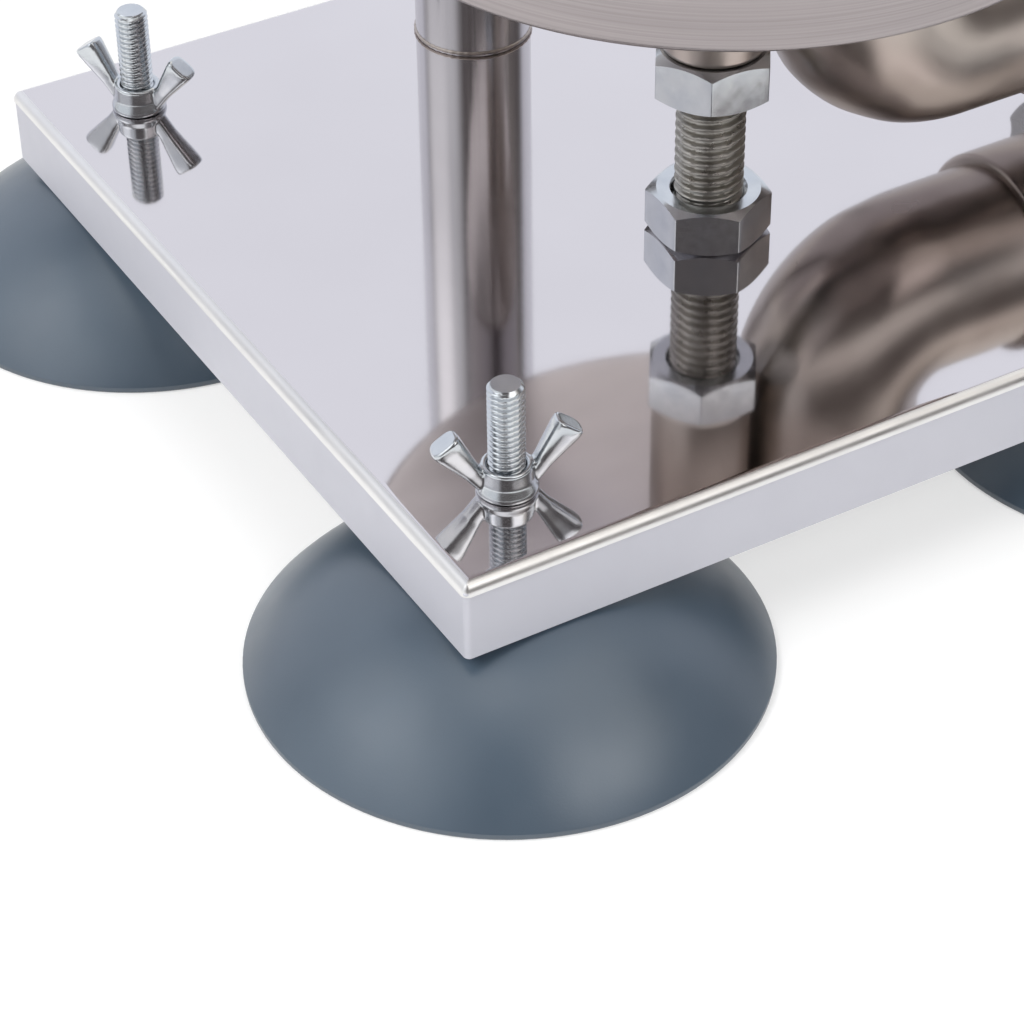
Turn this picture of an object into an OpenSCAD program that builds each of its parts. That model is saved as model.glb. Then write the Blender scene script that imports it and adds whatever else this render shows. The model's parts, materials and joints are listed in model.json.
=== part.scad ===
// Vertical sausage stuffer on a square pan with four suction feet.
// +X points along the filling tube, +Y to the column, +Z up.
// The origin is on the bench, under the middle of the pan.

/* [Base pan] */
// Width of the pan along X
base_w = 170; // [160:1:200]
// Depth of the pan along Y
base_d = 170; // [166:1:200]
// Height of the pan's top face above the bench
base_top = 34.2; // [32:0.1:42]
// Depth of the folded flange
flange_h = 14.7; // [12:0.1:18]
// Thickness of the pan's sheet
sheet_t = 1.2; // [0.8:0.1:1.5]
// Outside radius of the folded top edge
bend_r = 2.2; // [2:0.1:5]

/* [Feet] */
// Distance of each stud from the pan's edges
foot_inset = 18; // [15:0.5:24]
// Diameter of a suction cup's rim
cup_d = 86.4; // [76:0.2:96]
// Height of the cup's lip
cup_lip_h = 1.2; // [0.8:0.1:2]
// Width of the flat sealing face under the lip
cup_lip_w = 4; // [2:0.5:7]
// Height of the hollow under the cup
cup_cavity_h = 10; // [6:0.5:11]
// Diameter of the cup's neck under the pan
cup_neck_d = 24; // [19:0.5:30]
// Gap between the cup's dome and the edge of the flange
cup_gap = 0.7; // [0.4:0.1:3]
// Diameter of the foot studs
stud_d = 6; // [5:1:7]
// Height of the studs above the pan
stud_above = 20; // [15:0.5:28]
// Diameter of the stud's head inside the rubber
stud_head_d = 15; // [10:0.5:18]
// Height of the stud's head
stud_head_h = 2; // [1:0.1:3]
// Chamfer on the free ends of studs and bolts
thread_chamfer = 0.8; // [0.3:0.1:1.2]
// Width of a wing nut over its wings
wing_span = 24; // [20:0.5:30]
// Height of a wing nut
wing_h = 12; // [9:0.5:14]
// Thickness of the wings
wing_t = 3.2; // [1.5:0.1:4]
// Diameter of the wing nut's base
wing_hub_d = 11; // [9:0.5:13]
// Diameter of the wing nut's collar
wing_collar_d = 8.8; // [8:0.1:9]
// Height of the wing nut's collar
wing_hub_h = 5.8; // [4:0.2:8]
// Height of the wing nut's base ring
wing_base_h = 2; // [1:0.2:3]
// Height of the bevel between the wing nut's base ring and collar
wing_bevel_h = 1; // [0.5:0.1:1.5]
// Height of the wings' lower edge above the wing nut's seat
wing_lift = 1; // [0.6:0.1:2]

/* [Column] */
// Diameter of the column
column_d = 22; // [20:0.5:24]
// Wall of the column
column_wall = 1.5; // [1:0.1:2.5]
// Distance of the column behind the middle of the pan
column_y = 60; // [57:0.5:66]
// Width of the weld round the column's foot
weld_w = 0.6; // [0.3:0.1:1.5]
// Height of the weld round the column's foot
weld_h = 1.4; // [0.5:0.1:3]
// Gap between the column's top and the head's cover
column_gap = 4.5; // [2:0.5:8]
// Length of the threaded plug in the column's foot
plug_l = 25; // [15:1:40]
// Diameter of the bolt that holds the column
foot_bolt_d = 10; // [8:1:12]
// Width across the flats of the column's bolt head
foot_bolt_af = 17; // [14:0.5:20]
// Height of the column's bolt head
foot_bolt_h = 6.4; // [4:0.2:8]
// Diameter of the washer under the pan
washer_d = 21; // [20.5:0.5:28]
// Thickness of the washer
washer_t = 2; // [1:0.1:3]

/* [Cylinder] */
// Place of the cylinder's axis along Y
axis_y = -21.5; // [-26:0.5:-19]
// Outside diameter of the cylinder
cyl_od = 124; // [118:0.5:126]
// Wall of the cylinder
cyl_wall = 1; // [0.8:0.1:2]
// Thickness of the cylinder's floor
floor_t = 1.5; // [1:0.1:3]
// Height of the cylinder's underside above the pan
cyl_lift = 70; // [64:0.5:90]
// Height of the cylinder
cyl_h = 180; // [150:1:240]
// Chamfer round the cylinder's lower edge
cyl_chamfer = 0.6; // [0.2:0.1:0.8]
// Diameter of the rolled bead on the rim
bead_d = 4; // [3:0.1:6]

/* [Support under the cylinder] */
// Diameter of the post under the cylinder
post_d = 18; // [16:0.5:21]
// Height of the post's lower end above the pan
post_lift = 36; // [30:0.5:42]
// Diameter of the threaded support stud
support_d = 12; // [10:1:13]
// Width across the flats of the support nuts
support_af = 19; // [17:0.5:21]
// Height of the support nuts
support_nut_h = 8.3; // [5:0.1:9]
// Length of the support stud inside the post
support_grip = 16; // [8:1:24]
// Depth of the post's hole past the end of the stud
post_relief = 1; // [0.5:0.1:3]
// Length of the support stud below the lower nut
support_tail = 3; // [1:0.5:5]

/* [Outlet] */
// Outside diameter of the outlet elbow
tube_d = 34.5; // [30:0.5:35]
// Wall of the outlet elbow
tube_wall = 1.5; // [1:0.1:2.5]
// Place of the elbow's upright leg along X
outlet_x = 27.5; // [27:0.5:32]
// Height of the elbow's level leg above the pan
outlet_lift = 27.6; // [26:0.1:34]
// Bend radius of the elbow's middle line
elbow_r = 18; // [17.5:0.5:22]
// Straight end of the elbow past its bend
elbow_tail = 18; // [12:0.5:24]
// Diameter of the threaded ferrule
ferrule_d = 38.4; // [37:0.2:42]
// Length of the ferrule
ferrule_l = 29; // [14:0.5:30]
// Thickness of the gasket
gasket_t = 2; // [1:0.1:3]
// Length of the nut's thread over the ferrule
nut_thread_l = 8; // [5:0.5:11]
// Outside diameter of the union nut
nut_d = 50; // [47:0.5:51]
// Thickness of the union nut's lip
nut_lip_t = 3; // [2:0.1:5]
// Number of finger scallops round the union nut
nut_lobes = 10; // [6:1:14]
// Radius of a finger scallop
nut_scallop_r = 5; // [3:0.5:6]
// Depth of a finger scallop
nut_scallop_depth = 2.2; // [1:0.1:2.6]
// Thickness of the filling tube's flange
horn_flange_t = 2; // [1.5:0.1:3]
// How much smaller than the ferrule the gasket and the flange are
flange_less = 1; // [0.4:0.1:2]
// Outside diameter of the filling tube
horn_d = 22; // [16:0.5:24]
// Outside diameter of the filling tube's neck
horn_neck_d = 26.4; // [25:0.2:29]
// Wall of the filling tube
horn_wall = 1; // [0.8:0.1:1.5]
// Length of the filling tube's taper
horn_taper_l = 24; // [15:1:40]
// Length of the straight filling tube
horn_l = 106; // [60:1:160]

/* [Cylinder holder] */
// Height of the holder's middle above the cylinder's underside
holder_lift = 110; // [60:1:130]
// Height of the holder band
holder_h = 20; // [14:0.5:30]
// Thickness of the holder band
holder_t = 2.5; // [1.5:0.1:4]
// Wall of the holder's collar round the column
holder_wall = 5; // [4:0.5:8]
// Width of the web between band and collar
holder_web_w = 16; // [10:0.5:24]
// Width of the collar's slit
holder_slit = 2; // [1:0.2:3]
// Thickness of each clamping ear
ear_t = 6; // [4:0.5:9]
// Reach of the clamping ears behind the collar
ear_l = 15; // [14:0.5:20]
// Diameter of the clamping bolt
clamp_d = 6; // [5:1:7]
// Width across the flats of the clamping bolt and nut
clamp_af = 10; // [9:0.5:11]
// Height of the clamping bolt's head and nut
clamp_head_h = 4.5; // [3:0.1:6]

/* [Piston] */
// How far the piston stands in the cylinder
piston_in = 14; // [8:0.5:30]
// Thickness of the piston plate
piston_t = 10; // [8:0.5:14]
// Gap between the piston plate and the cylinder
piston_gap = 1; // [0.6:0.1:2]
// Gap between the seal and the cylinder
seal_gap = 0.3; // [0.25:0.05:0.5]
// Height of the seal
seal_h = 5; // [3:0.5:5.5]
// Depth of the seal's groove
seal_groove = 4; // [3:0.5:7]
// Diameter of the piston's hub
hub_d = 34; // [30:0.5:40]
// Height of the piston's hub
hub_h = 14; // [12:0.5:20]
// Depth of the pin's ends below the hub's side
hub_pin_in = 1; // [0.5:0.1:3]
// Diameter of the pin through hub and rack
hub_pin_d = 5; // [4:0.5:6]
// Rise of the piston from rest
piston_rise = 50; // [30:1:70]
// Gap left over the cylinder's floor
floor_gap = 3; // [1:0.5:10]
// Distance of the vent valve from the piston's middle
vent_x = 36; // [32:0.5:42]
// Diameter of the vent valve's stem
vent_d = 8; // [6:0.5:10]
// Diameter of the vent valve's head
vent_head_d = 15; // [13:0.5:18]
// Bevel round the vent valve's head
vent_bevel = 1; // [0.3:0.1:1.5]
// Height of the vent valve's stem end above the piston's underside
vent_in = 1; // [0.5:0.1:3]
// Height of the vent valve's head
vent_head_h = 3.5; // [2:0.1:5]

/* [Gear head] */
// Gap between the raised piston's hub and the head
head_gap = 8; // [4:0.5:15]
// Height of the head
head_h = 62; // [58:0.5:75]
// Width between the head's cheeks
head_in_w = 40; // [38:0.5:50]
// Thickness of the cheeks
cheek_t = 2.5; // [2:0.1:4]
// Outside radius of the head's folded edges
head_bend_r = 5; // [4.5:0.5:8]
// Thickness of the cover
cover_t = 1.5; // [1:0.1:2.5]
// Wall of the column socket in front of and behind the column
socket_wall = 6; // [5:0.5:8]
// Depth of the rack guide in front of the rack
guide_depth = 17; // [14:0.5:24]
// Reach of the guide's lips along the rack's sides
guide_lip_l = 4; // [2:0.5:5]
// Thickness of the guide's lips
guide_lip_t = 2; // [1:0.1:2.2]
// Diameter of both shafts
shaft_d = 10; // [8:0.5:11]
// Outside diameter of the bushes
bush_d = 14; // [13:0.5:16]
// Diameter of a bush's flange
bush_flange_d = 18; // [17:0.5:20]
// Thickness of a bush's flange
bush_flange_t = 1.5; // [1:0.1:2]
// How far a bush stands out of its cheek
bush_out = 3; // [1:0.5:6]
// Thickness of the retaining rings
clip_t = 1.2; // [0.8:0.1:2]
// Outside diameter of the retaining rings
clip_d = 16; // [14:0.5:20]
// Length of a shaft's end past its ring
shaft_end = 2; // [1:0.5:5]
// Diameter of the cheek screws
screw_d = 5; // [4:0.5:5.5]
// Length of the cheek screws in the blocks
screw_l = 7; // [5:0.5:7.5]
// Height of the lower cheek screws above the head's floor
screw_lift = 14; // [12:0.5:20]
// Distance between the two rows of screws
screw_step = 24; // [18:0.5:28]
// Distance of the rear cheek screws from the socket's front face
screw_in = 6; // [5:0.5:7]
// Diameter of the cover screws
cover_screw_d = 4; // [3:0.5:4.5]
// Length of the cover screws in the blocks
cover_screw_l = 10; // [6:0.5:12]
// Distance of the front cover screws from the block's sides
cover_screw_front_in = 7; // [6:0.5:9]
// Distance of the rear cover screws from the block's sides and rear face
cover_screw_rear_in = 5; // [4.5:0.5:6]
// Height of the lower grub screw above the head's floor
grub_lift = 18; // [14:0.5:22]
// Depth of the grub screws below the socket's rear face
grub_in = 1; // [0.5:0.1:2]
// Depth of the hexagon in the grub screws
grub_hex_depth = 2; // [1:0.1:3]
// Diameter of the grub screws that hold the column
grub_d = 6; // [4:0.5:7]

/* [Gears and rack] */
// Module of the drive pinion and the reduction gear
gear_m = 1.5; // [1.3:0.05:1.55]
// Teeth of the drive pinion
drive_teeth = 12; // [11:1:13]
// Teeth of the reduction gear
reduction_teeth = 30; // [26:1:30]
// Width of the reduction gear
gear_w = 8; // [5:0.5:8.5]
// Module of the rack and its pinion
rack_m = 2; // [1.8:0.05:2.1]
// Teeth of the rack pinion
rack_teeth = 14; // [13:1:14]
// Width of the rack along X
rack_w = 14; // [12:0.5:14.5]
// Depth of the rack along Y
rack_t = 14; // [12:0.5:15]
// How much wider than the rack its pinion is
pinion_over = 2; // [0:0.5:3]
// Play at each flank of a tooth
tooth_play = 0.12; // [0.08:0.01:0.2]
// Height of the cap on the rack
cap_h = 12; // [10:0.5:20]
// Width of the cap on the rack
cap_w = 22; // [20:0.5:30]
// Radius of the cap's upper edges
cap_round = 3; // [1:0.5:5]
// Depth of the cap's socket
cap_socket = 8; // [4:0.5:9]
// Gap left under the cap when the piston is down
cap_gap = 3; // [2:0.5:10]

/* [Crank] */
// Throw of the crank from shaft to grip
crank_l = 110; // [90:1:125]
// Thickness of the crank arm
crank_t = 6; // [4:0.5:8]
// Diameter of the crank arm's hub end
crank_hub_d = 22; // [20:0.5:28]
// Width of the crank arm at the grip
crank_tip_d = 18; // [15:0.5:22]
// Gap between the bush and the crank arm
crank_gap = 10; // [5:0.5:15]
// Gap between the swinging arm and the cylinder's rim
crank_clear = 4; // [2:0.5:10]
// Where the arm starts to bend outwards, from the shaft
crank_knee = 20; // [16:0.5:26]
// Where the arm is straight again, from the shaft
crank_elbow = 54; // [48:0.5:60]
// Length of the threaded end of the crank shaft
crank_thread_l = 9; // [7:0.5:14]
// Diameter of the threaded end of the crank shaft
crank_thread_d = 8; // [6:0.5:8]
// Width across the flats of the crank nut
crank_nut_af = 13; // [12:0.5:16]
// Height of the crank nut
crank_nut_h = 6.5; // [4:0.1:7]
// Length of the grip
grip_l = 85; // [70:1:110]
// Largest diameter of the grip
grip_d = 28; // [24:0.5:34]
// Smallest diameter of the grip
grip_waist_d = 22; // [20:0.5:23]
// Diameter of the grip's bolt
grip_bolt_d = 8; // [6:0.5:9]
// Diameter of the grip bolt's head
grip_head_d = 13; // [11:0.5:15]
// Depth of the grip bolt's head below the grip's end
grip_recess = 2; // [1:0.5:5]
// Height of the grip bolt's head
grip_head_h = 4; // [2:0.5:6]

/* [Clearances] */
// Radial clearance of pieces that turn or slide on a pin
run_play = 0.06; // [0.03:0.01:0.1]
// Clearance of round pieces fixed in a hole
fit_gap = 0.05; // [0.02:0.01:0.15]
// Clearance of screws and studs in their holes
hole_play = 0.3; // [0.2:0.05:0.5]
// Gap between flat faces that move on each other
face_gap = 0.2; // [0.1:0.05:0.3]
// Gap between the rack and what guides it
guide_gap = 0.3; // [0.25:0.05:0.5]

/* [Hidden] */
$fn = 96;
eps = 0.01;
// A cut's overshoot past the face it leaves
over = 1;

// Pan and feet
flange_z = base_top - flange_h;
pan_under = base_top - sheet_t;
foot_x = base_w / 2 - foot_inset;
foot_y = base_d / 2 - foot_inset;
FEET = [[-foot_x, -foot_y], [foot_x, -foot_y], [-foot_x, foot_y], [foot_x, foot_y]];
// Turn of each wing nut on its stud
WING_TURNS = [-15, 20, -57, 75];
cup_r = cup_d / 2;
// The dome passes through the lip's upper edge and just under the flange's edge
dome_under = flange_z - cup_gap;
dome_c = (cup_r ^ 2 + cup_lip_h ^ 2 - foot_inset ^ 2 - dome_under ^ 2) / (2 * (cup_lip_h - dome_under));
dome_r = sqrt(cup_r ^ 2 + (cup_lip_h - dome_c) ^ 2);
cavity_r0 = cup_r - cup_lip_w;
cavity_c = (cup_cavity_h ^ 2 - cavity_r0 ^ 2) / (2 * cup_cavity_h);
cavity_r = cup_cavity_h - cavity_c;
stud_head_z = cup_cavity_h + stud_head_h;

// Cylinder, support and outlet
cyl_z = base_top + cyl_lift;
cyl_top = cyl_z + cyl_h;
cyl_id = cyl_od - 2 * cyl_wall;
cyl_floor = cyl_z + floor_t;
post_z = base_top + post_lift;
support_low = pan_under - support_nut_h - support_tail;
outlet_z = base_top + outlet_lift;
bend_x = outlet_x + elbow_r;
bend_z = outlet_z + elbow_r;
tube_id = tube_d - 2 * tube_wall;
ferrule_x = bend_x + elbow_tail;
gasket_x = ferrule_x + ferrule_l;
horn_x = gasket_x + gasket_t;
nut_x = gasket_x - nut_thread_l;
nut_lip_x = horn_x + horn_flange_t + face_gap;
nut_end = nut_lip_x + nut_lip_t;
nut_bore_d = ferrule_d + 2 * run_play;
horn_flange_d = ferrule_d - flange_less;
horn_bore_d = horn_d - 2 * horn_wall;

// Holder
holder_z = cyl_z + holder_lift - holder_h / 2;
band_r = cyl_od / 2 + fit_gap;
collar_r = column_d / 2 + fit_gap + holder_wall;
ear_y = column_y + collar_r + ear_l / 2;
ear_x = holder_slit / 2 + ear_t;

// Piston and gear head
piston_z = cyl_top - piston_in;
piston_top = piston_z + piston_t;
hub_top = piston_top + hub_h;
piston_drop = piston_z - cyl_floor - floor_gap;
piston_r = cyl_id / 2 - piston_gap;
seal_r = cyl_id / 2 - seal_gap;
groove_r = piston_r - seal_groove;
seal_z = piston_z + (piston_t - seal_h) / 2;
head_z = hub_top + piston_rise + head_gap;
head_top = head_z + head_h;
shaft_z = head_z + head_h / 2;
head_w = head_in_w + 2 * cheek_t;
cheek_x = head_in_w / 2;
block_w = head_in_w - 2 * fit_gap;
block_z = head_z + cheek_t;
block_h = head_h - cheek_t;
socket_half = column_d / 2 + socket_wall;
head_front = axis_y - rack_t / 2 - guide_gap - guide_depth;
head_rear = column_y + socket_half;
column_top = head_top - column_gap;

// Teeth: the addendum is short so that small pinions need no undercut
pressure = 20;
addendum = 0.8;
dedendum = 1;
gear_r = gear_m * reduction_teeth / 2;
drive_r = gear_m * drive_teeth / 2;
rack_pinion_r = rack_m * rack_teeth / 2;
pitch_y = axis_y + rack_t / 2 - addendum * rack_m;
lay_y = pitch_y + rack_pinion_r;
crank_y = lay_y + gear_r + drive_r;
gear_x = cheek_x - bush_flange_t - face_gap - gear_w;
rack_pinion_w = rack_w + pinion_over;
rack_pitch = PI * rack_m;
rack_top = head_top + cover_t + piston_drop + cap_gap + cap_socket;
// Tooth gaps run from the raised piston's contact to the lowered one's
gaps_below = ceil((piston_rise + rack_pinion_r) / rack_pitch);
gaps_above = ceil((piston_drop + rack_pinion_r / 2) / rack_pitch);

// Crank
bush_end = cheek_x + cheek_t + bush_out;
clip_x = bush_end + face_gap;
arm_x = bush_end + crank_gap;
arm_out_x = cyl_od / 2 + bead_d + crank_clear;
crank_end = arm_x + crank_t;
grip_x = arm_out_x + crank_t + face_gap;
grip_z = shaft_z - crank_l;
grip_end = grip_x + grip_l;
head_pocket = grip_head_h + grip_recess;

// Screw places
cover_screw_front = [block_w / 2 - cover_screw_front_in, head_front + guide_depth / 2];
cover_screw_rear = [block_w / 2 - cover_screw_rear_in, head_rear - cover_screw_rear_in];
cheek_screw_zs = [head_z + screw_lift, head_z + screw_lift + screw_step];
cheek_screw_ys = [head_front + guide_depth / 2, column_y - socket_half + screw_in];
grub_zs = [head_z + grub_lift, head_z + grub_lift + screw_step];

STEEL = [0.74, 0.73, 0.74];
POLISHED = [0.84, 0.84, 0.88];
ZINC = [0.72, 0.75, 0.78];
RUBBER = [0.33, 0.38, 0.44];
DARK = [0.16, 0.16, 0.17];
NYLON = [0.9, 0.9, 0.87];
BRONZE = [0.72, 0.56, 0.32];

// Shared shapes

// Bar along Y with its two upper edges rounded
module rounded_bar(w, l, h, r) {
    translate([-w / 2, -l / 2, 0]) cube([w, l, h - r]);
    translate([-w / 2 + r, -l / 2, 0]) cube([w - 2 * r, l, h]);
    for (side = [-1, 1])
        translate([side * (w / 2 - r), 0, h - r])
            rotate([90, 0, 0]) cylinder(r = r, h = l, center = true);
}

// Block whose four upper edges are rounded and meet in mitres
module folded_block(w, d, h, r) {
    intersection() {
        rounded_bar(w, d + 2 * over, h, r);
        rotate(90) rounded_bar(d, w + 2 * over, h, r);
    }
}

// Cylinder along +X from x = 0
module rod_x(d, l) {
    rotate([0, 90, 0]) cylinder(d = d, h = l);
}

// Round piece along +Z with a chamfered upper end
module chamfered_rod(d, l, c) {
    cylinder(d = d, h = l - c);
    translate([0, 0, l - c]) cylinder(d1 = d, d2 = d - 2 * c, h = c);
}

// Hexagon prism with its corners turned off by cones, at the ends asked for
module hex_body(af, h, low = true, high = true) {
    across = af / cos(30);
    slope_h = (across - af) / 2 * tan(30);
    intersection() {
        cylinder(d = across, h = h, $fn = 6);
        union() {
            translate([0, 0, low ? slope_h : 0])
                cylinder(d = across + eps, h = h - (low ? slope_h : 0) - (high ? slope_h : 0));
            if (low) cylinder(d1 = af, d2 = across + eps, h = slope_h);
            if (high) translate([0, 0, h - slope_h]) cylinder(d1 = across + eps, d2 = af, h = slope_h);
        }
    }
}

module hex_nut(af, h, bore) {
    difference() {
        hex_body(af, h);
        translate([0, 0, -over]) cylinder(d = bore, h = h + 2 * over);
    }
}

// Pan-head screw along -Z, its head's seat at z = 0
module screw(d, l) {
    head_h = 0.5 * d;
    translate([0, 0, -l]) cylinder(d = d, h = l + eps);
    cylinder(d = 1.8 * d, h = head_h * 0.6);
    translate([0, 0, head_h * 0.6]) cylinder(d1 = 1.8 * d, d2 = 1.3 * d, h = head_h * 0.4);
}

// Ring along +X
module ring_x(od, id, l) {
    difference() {
        rod_x(od, l);
        translate([-over, 0, 0]) rod_x(id, l + 2 * over);
    }
}

// Involute of a radius, in degrees
function involute(r, base) = r <= base ? 0 : tan(acos(base / r)) * 180 / PI - acos(base / r);
function polar(r, a) = [r * cos(a), r * sin(a)];

// Outline of a spur gear with a tooth along +X
function gear_points(m, teeth) = let (
    pitch = m * teeth / 2,
    base = pitch * cos(pressure),
    tip = pitch + addendum * m,
    root = pitch - dedendum * m,
    foot = max(base, root),
    half = 90 / teeth - tooth_play / pitch * 180 / PI + involute(pitch, base),
    steps = 5,
    flank = [for (k = [0:steps]) foot + (tip - foot) * k / steps],
    side = root < foot ? concat([root], flank) : flank,
    n = len(side)
) [for (t = [0:teeth - 1], k = [0:2 * n - 1])
    let (r = side[k < n ? k : 2 * n - 1 - k], a = half - involute(r, base))
    polar(r, 360 / teeth * t + (k < n ? -a : a))];

// Spur gear along +X from x = 0, its first tooth turned to an angle from +Y
module gear_x_axis(m, teeth, w, bore, turn) {
    difference() {
        rotate([90, 0, 90]) linear_extrude(w) rotate(turn) polygon(gear_points(m, teeth));
        translate([-over, 0, 0]) rod_x(bore, w + 2 * over);
    }
}

// Pan, feet and wing nuts

module base_pan() {
    color(POLISHED) difference() {
        translate([0, 0, flange_z]) folded_block(base_w, base_d, flange_h, bend_r);
        translate([0, 0, flange_z - over])
            folded_block(base_w - 2 * sheet_t, base_d - 2 * sheet_t, flange_h - sheet_t + over,
                         bend_r - sheet_t);
        for (p = FEET)
            translate([p.x, p.y, pan_under - over])
                cylinder(d = stud_d + 2 * hole_play, h = sheet_t + 2 * over);
        translate([0, column_y, pan_under - over])
            cylinder(d = foot_bolt_d + 2 * hole_play, h = sheet_t + 2 * over);
        translate([0, axis_y, pan_under - over])
            cylinder(d = support_d + 2 * hole_play, h = sheet_t + 2 * over);
    }
}

module suction_cup(place) {
    color(RUBBER) translate([place.x, place.y, 0]) difference() {
        union() {
            cylinder(r = cup_r, h = cup_lip_h);
            intersection() {
                translate([0, 0, dome_c]) sphere(r = dome_r);
                translate([0, 0, cup_lip_h]) cylinder(r = cup_r, h = dome_under + dome_r);
            }
            translate([0, 0, cup_lip_h]) cylinder(d = cup_neck_d, h = pan_under - cup_lip_h);
        }
        translate([0, 0, cavity_c]) sphere(r = cavity_r);
        translate([0, 0, stud_head_z - fit_gap])
            cylinder(d = stud_head_d + 2 * fit_gap, h = stud_head_h + 2 * fit_gap);
        translate([0, 0, stud_head_z]) cylinder(d = stud_d + 2 * fit_gap, h = base_top);
    }
}

module cup_front_left() { suction_cup(FEET[0]); }
module cup_front_right() { suction_cup(FEET[1]); }
module cup_rear_left() { suction_cup(FEET[2]); }
module cup_rear_right() { suction_cup(FEET[3]); }

module foot_studs() {
    color(ZINC) for (p = FEET)
        translate([p.x, p.y, stud_head_z]) {
            cylinder(d = stud_head_d, h = stud_head_h);
            chamfered_rod(stud_d, base_top + stud_above - stud_head_z, thread_chamfer);
        }
}

module wing_nut(place, turn) {
    reach = wing_span / 2;
    color(ZINC) translate([place.x, place.y, base_top + face_gap / 2]) rotate(turn) difference() {
        union() {
            cylinder(d = wing_hub_d, h = wing_base_h);
            translate([0, 0, wing_base_h]) cylinder(d1 = wing_hub_d, d2 = wing_collar_d, h = wing_bevel_h);
            cylinder(d = wing_collar_d, h = wing_hub_h);
            for (side = [0, 180])
                rotate([90, 0, side]) linear_extrude(wing_t, center = true)
                    polygon([
                        [0, wing_lift], [wing_hub_d / 2, wing_lift],
                        [0.97 * reach, 0.71 * wing_h], [reach, 0.76 * wing_h],
                        [0.98 * reach, 0.81 * wing_h], [0.74 * reach, 0.99 * wing_h],
                        [0.69 * reach, wing_h], [0.65 * reach, 0.97 * wing_h],
                        [wing_collar_d / 2, wing_hub_h - wing_bevel_h], [0, wing_hub_h - wing_bevel_h]
                    ]);
        }
        translate([0, 0, -over]) cylinder(d = stud_d + 2 * run_play, h = wing_h + 2 * over);
    }
}

module wing_nut_front_left() { wing_nut(FEET[0], WING_TURNS[0]); }
module wing_nut_front_right() { wing_nut(FEET[1], WING_TURNS[1]); }
module wing_nut_rear_left() { wing_nut(FEET[2], WING_TURNS[2]); }
module wing_nut_rear_right() { wing_nut(FEET[3], WING_TURNS[3]); }

// Column and its fastening

module column() {
    color(POLISHED) translate([0, column_y, base_top]) difference() {
        union() {
            cylinder(d = column_d, h = column_top - base_top);
            cylinder(d1 = column_d + 2 * weld_w, d2 = column_d, h = weld_h);
        }
        translate([0, 0, -over]) cylinder(d = column_d - 2 * column_wall, h = column_top);
    }
}

module column_plug() {
    color(ZINC) translate([0, column_y, base_top]) difference() {
        cylinder(d = column_d - 2 * column_wall - 2 * fit_gap, h = plug_l);
        translate([0, 0, -over]) cylinder(d = foot_bolt_d + 2 * fit_gap, h = plug_l + 2 * over);
    }
}

module column_bolt() {
    seat = pan_under - washer_t;
    color(ZINC) translate([0, column_y, seat]) {
        translate([0, 0, -foot_bolt_h]) hex_body(foot_bolt_af, foot_bolt_h, true, false);
        translate([0, 0, -eps])
            chamfered_rod(foot_bolt_d, base_top + plug_l - thread_chamfer - seat, thread_chamfer);
    }
}

module column_washer() {
    color(ZINC) translate([0, column_y, pan_under - washer_t]) difference() {
        cylinder(d = washer_d, h = washer_t);
        translate([0, 0, -over]) cylinder(d = foot_bolt_d + 2 * hole_play, h = washer_t + 2 * over);
    }
}

// Cylinder and its support

module cylinder_body() {
    r = cyl_od / 2;
    cylinder(r1 = r - cyl_chamfer, r2 = r, h = cyl_chamfer);
    translate([0, 0, cyl_chamfer]) cylinder(r = r, h = cyl_h - cyl_chamfer);
    translate([0, 0, cyl_h - bead_d / 2])
        rotate_extrude() translate([r + bead_d / 2 - cyl_wall, 0]) circle(d = bead_d, $fn = 48);
}

module cylinder_can() {
    color(STEEL) translate([0, axis_y, cyl_z]) difference() {
        cylinder_body();
        translate([0, 0, floor_t]) cylinder(d = cyl_id, h = cyl_h);
        translate([outlet_x, 0, -over]) cylinder(d = tube_id, h = floor_t + 2 * over);
    }
}

module support_post() {
    color(POLISHED) translate([0, axis_y, post_z]) difference() {
        cylinder(d = post_d, h = cyl_z - post_z);
        translate([0, 0, -over]) cylinder(d = support_d + 2 * fit_gap, h = support_grip + post_relief + over);
    }
}

module support_stud() {
    color(ZINC) translate([0, axis_y, post_z + support_grip])
        mirror([0, 0, 1]) chamfered_rod(support_d, post_z + support_grip - support_low, thread_chamfer);
}

// The upper nut shows a corner to the front left and the lower nuts show a flat
module support_nuts() {
    bore = support_d + 2 * fit_gap;
    color(ZINC) translate([0, axis_y, 0]) {
        translate([0, 0, post_z - support_nut_h]) rotate(56) hex_nut(support_af, support_nut_h, bore);
        translate([0, 0, base_top]) rotate(26) hex_nut(support_af, support_nut_h, bore);
        translate([0, 0, pan_under - support_nut_h]) rotate(26) hex_nut(support_af, support_nut_h, bore);
    }
}

// Outlet

module tube_z(l) {
    difference() {
        cylinder(d = tube_d, h = l);
        translate([0, 0, -over]) cylinder(d = tube_id, h = l + 2 * over);
    }
}

module tube_bend(d) {
    rotate([90, 180, 0]) rotate_extrude(angle = 90) translate([elbow_r, 0]) circle(d = d);
}

module outlet_elbow() {
    color(STEEL) translate([0, axis_y, 0]) {
        translate([outlet_x, 0, bend_z]) tube_z(cyl_z - bend_z);
        translate([bend_x, 0, bend_z]) difference() {
            tube_bend(tube_d);
            tube_bend(tube_id);
        }
        translate([bend_x, 0, outlet_z]) rotate([0, 90, 0]) tube_z(elbow_tail);
    }
}

module outlet_ferrule() {
    color(STEEL) translate([ferrule_x, axis_y, outlet_z]) ring_x(ferrule_d, tube_id, ferrule_l);
}

module outlet_gasket() {
    color(NYLON) translate([gasket_x, axis_y, outlet_z]) ring_x(horn_flange_d, tube_id, gasket_t);
}

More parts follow.
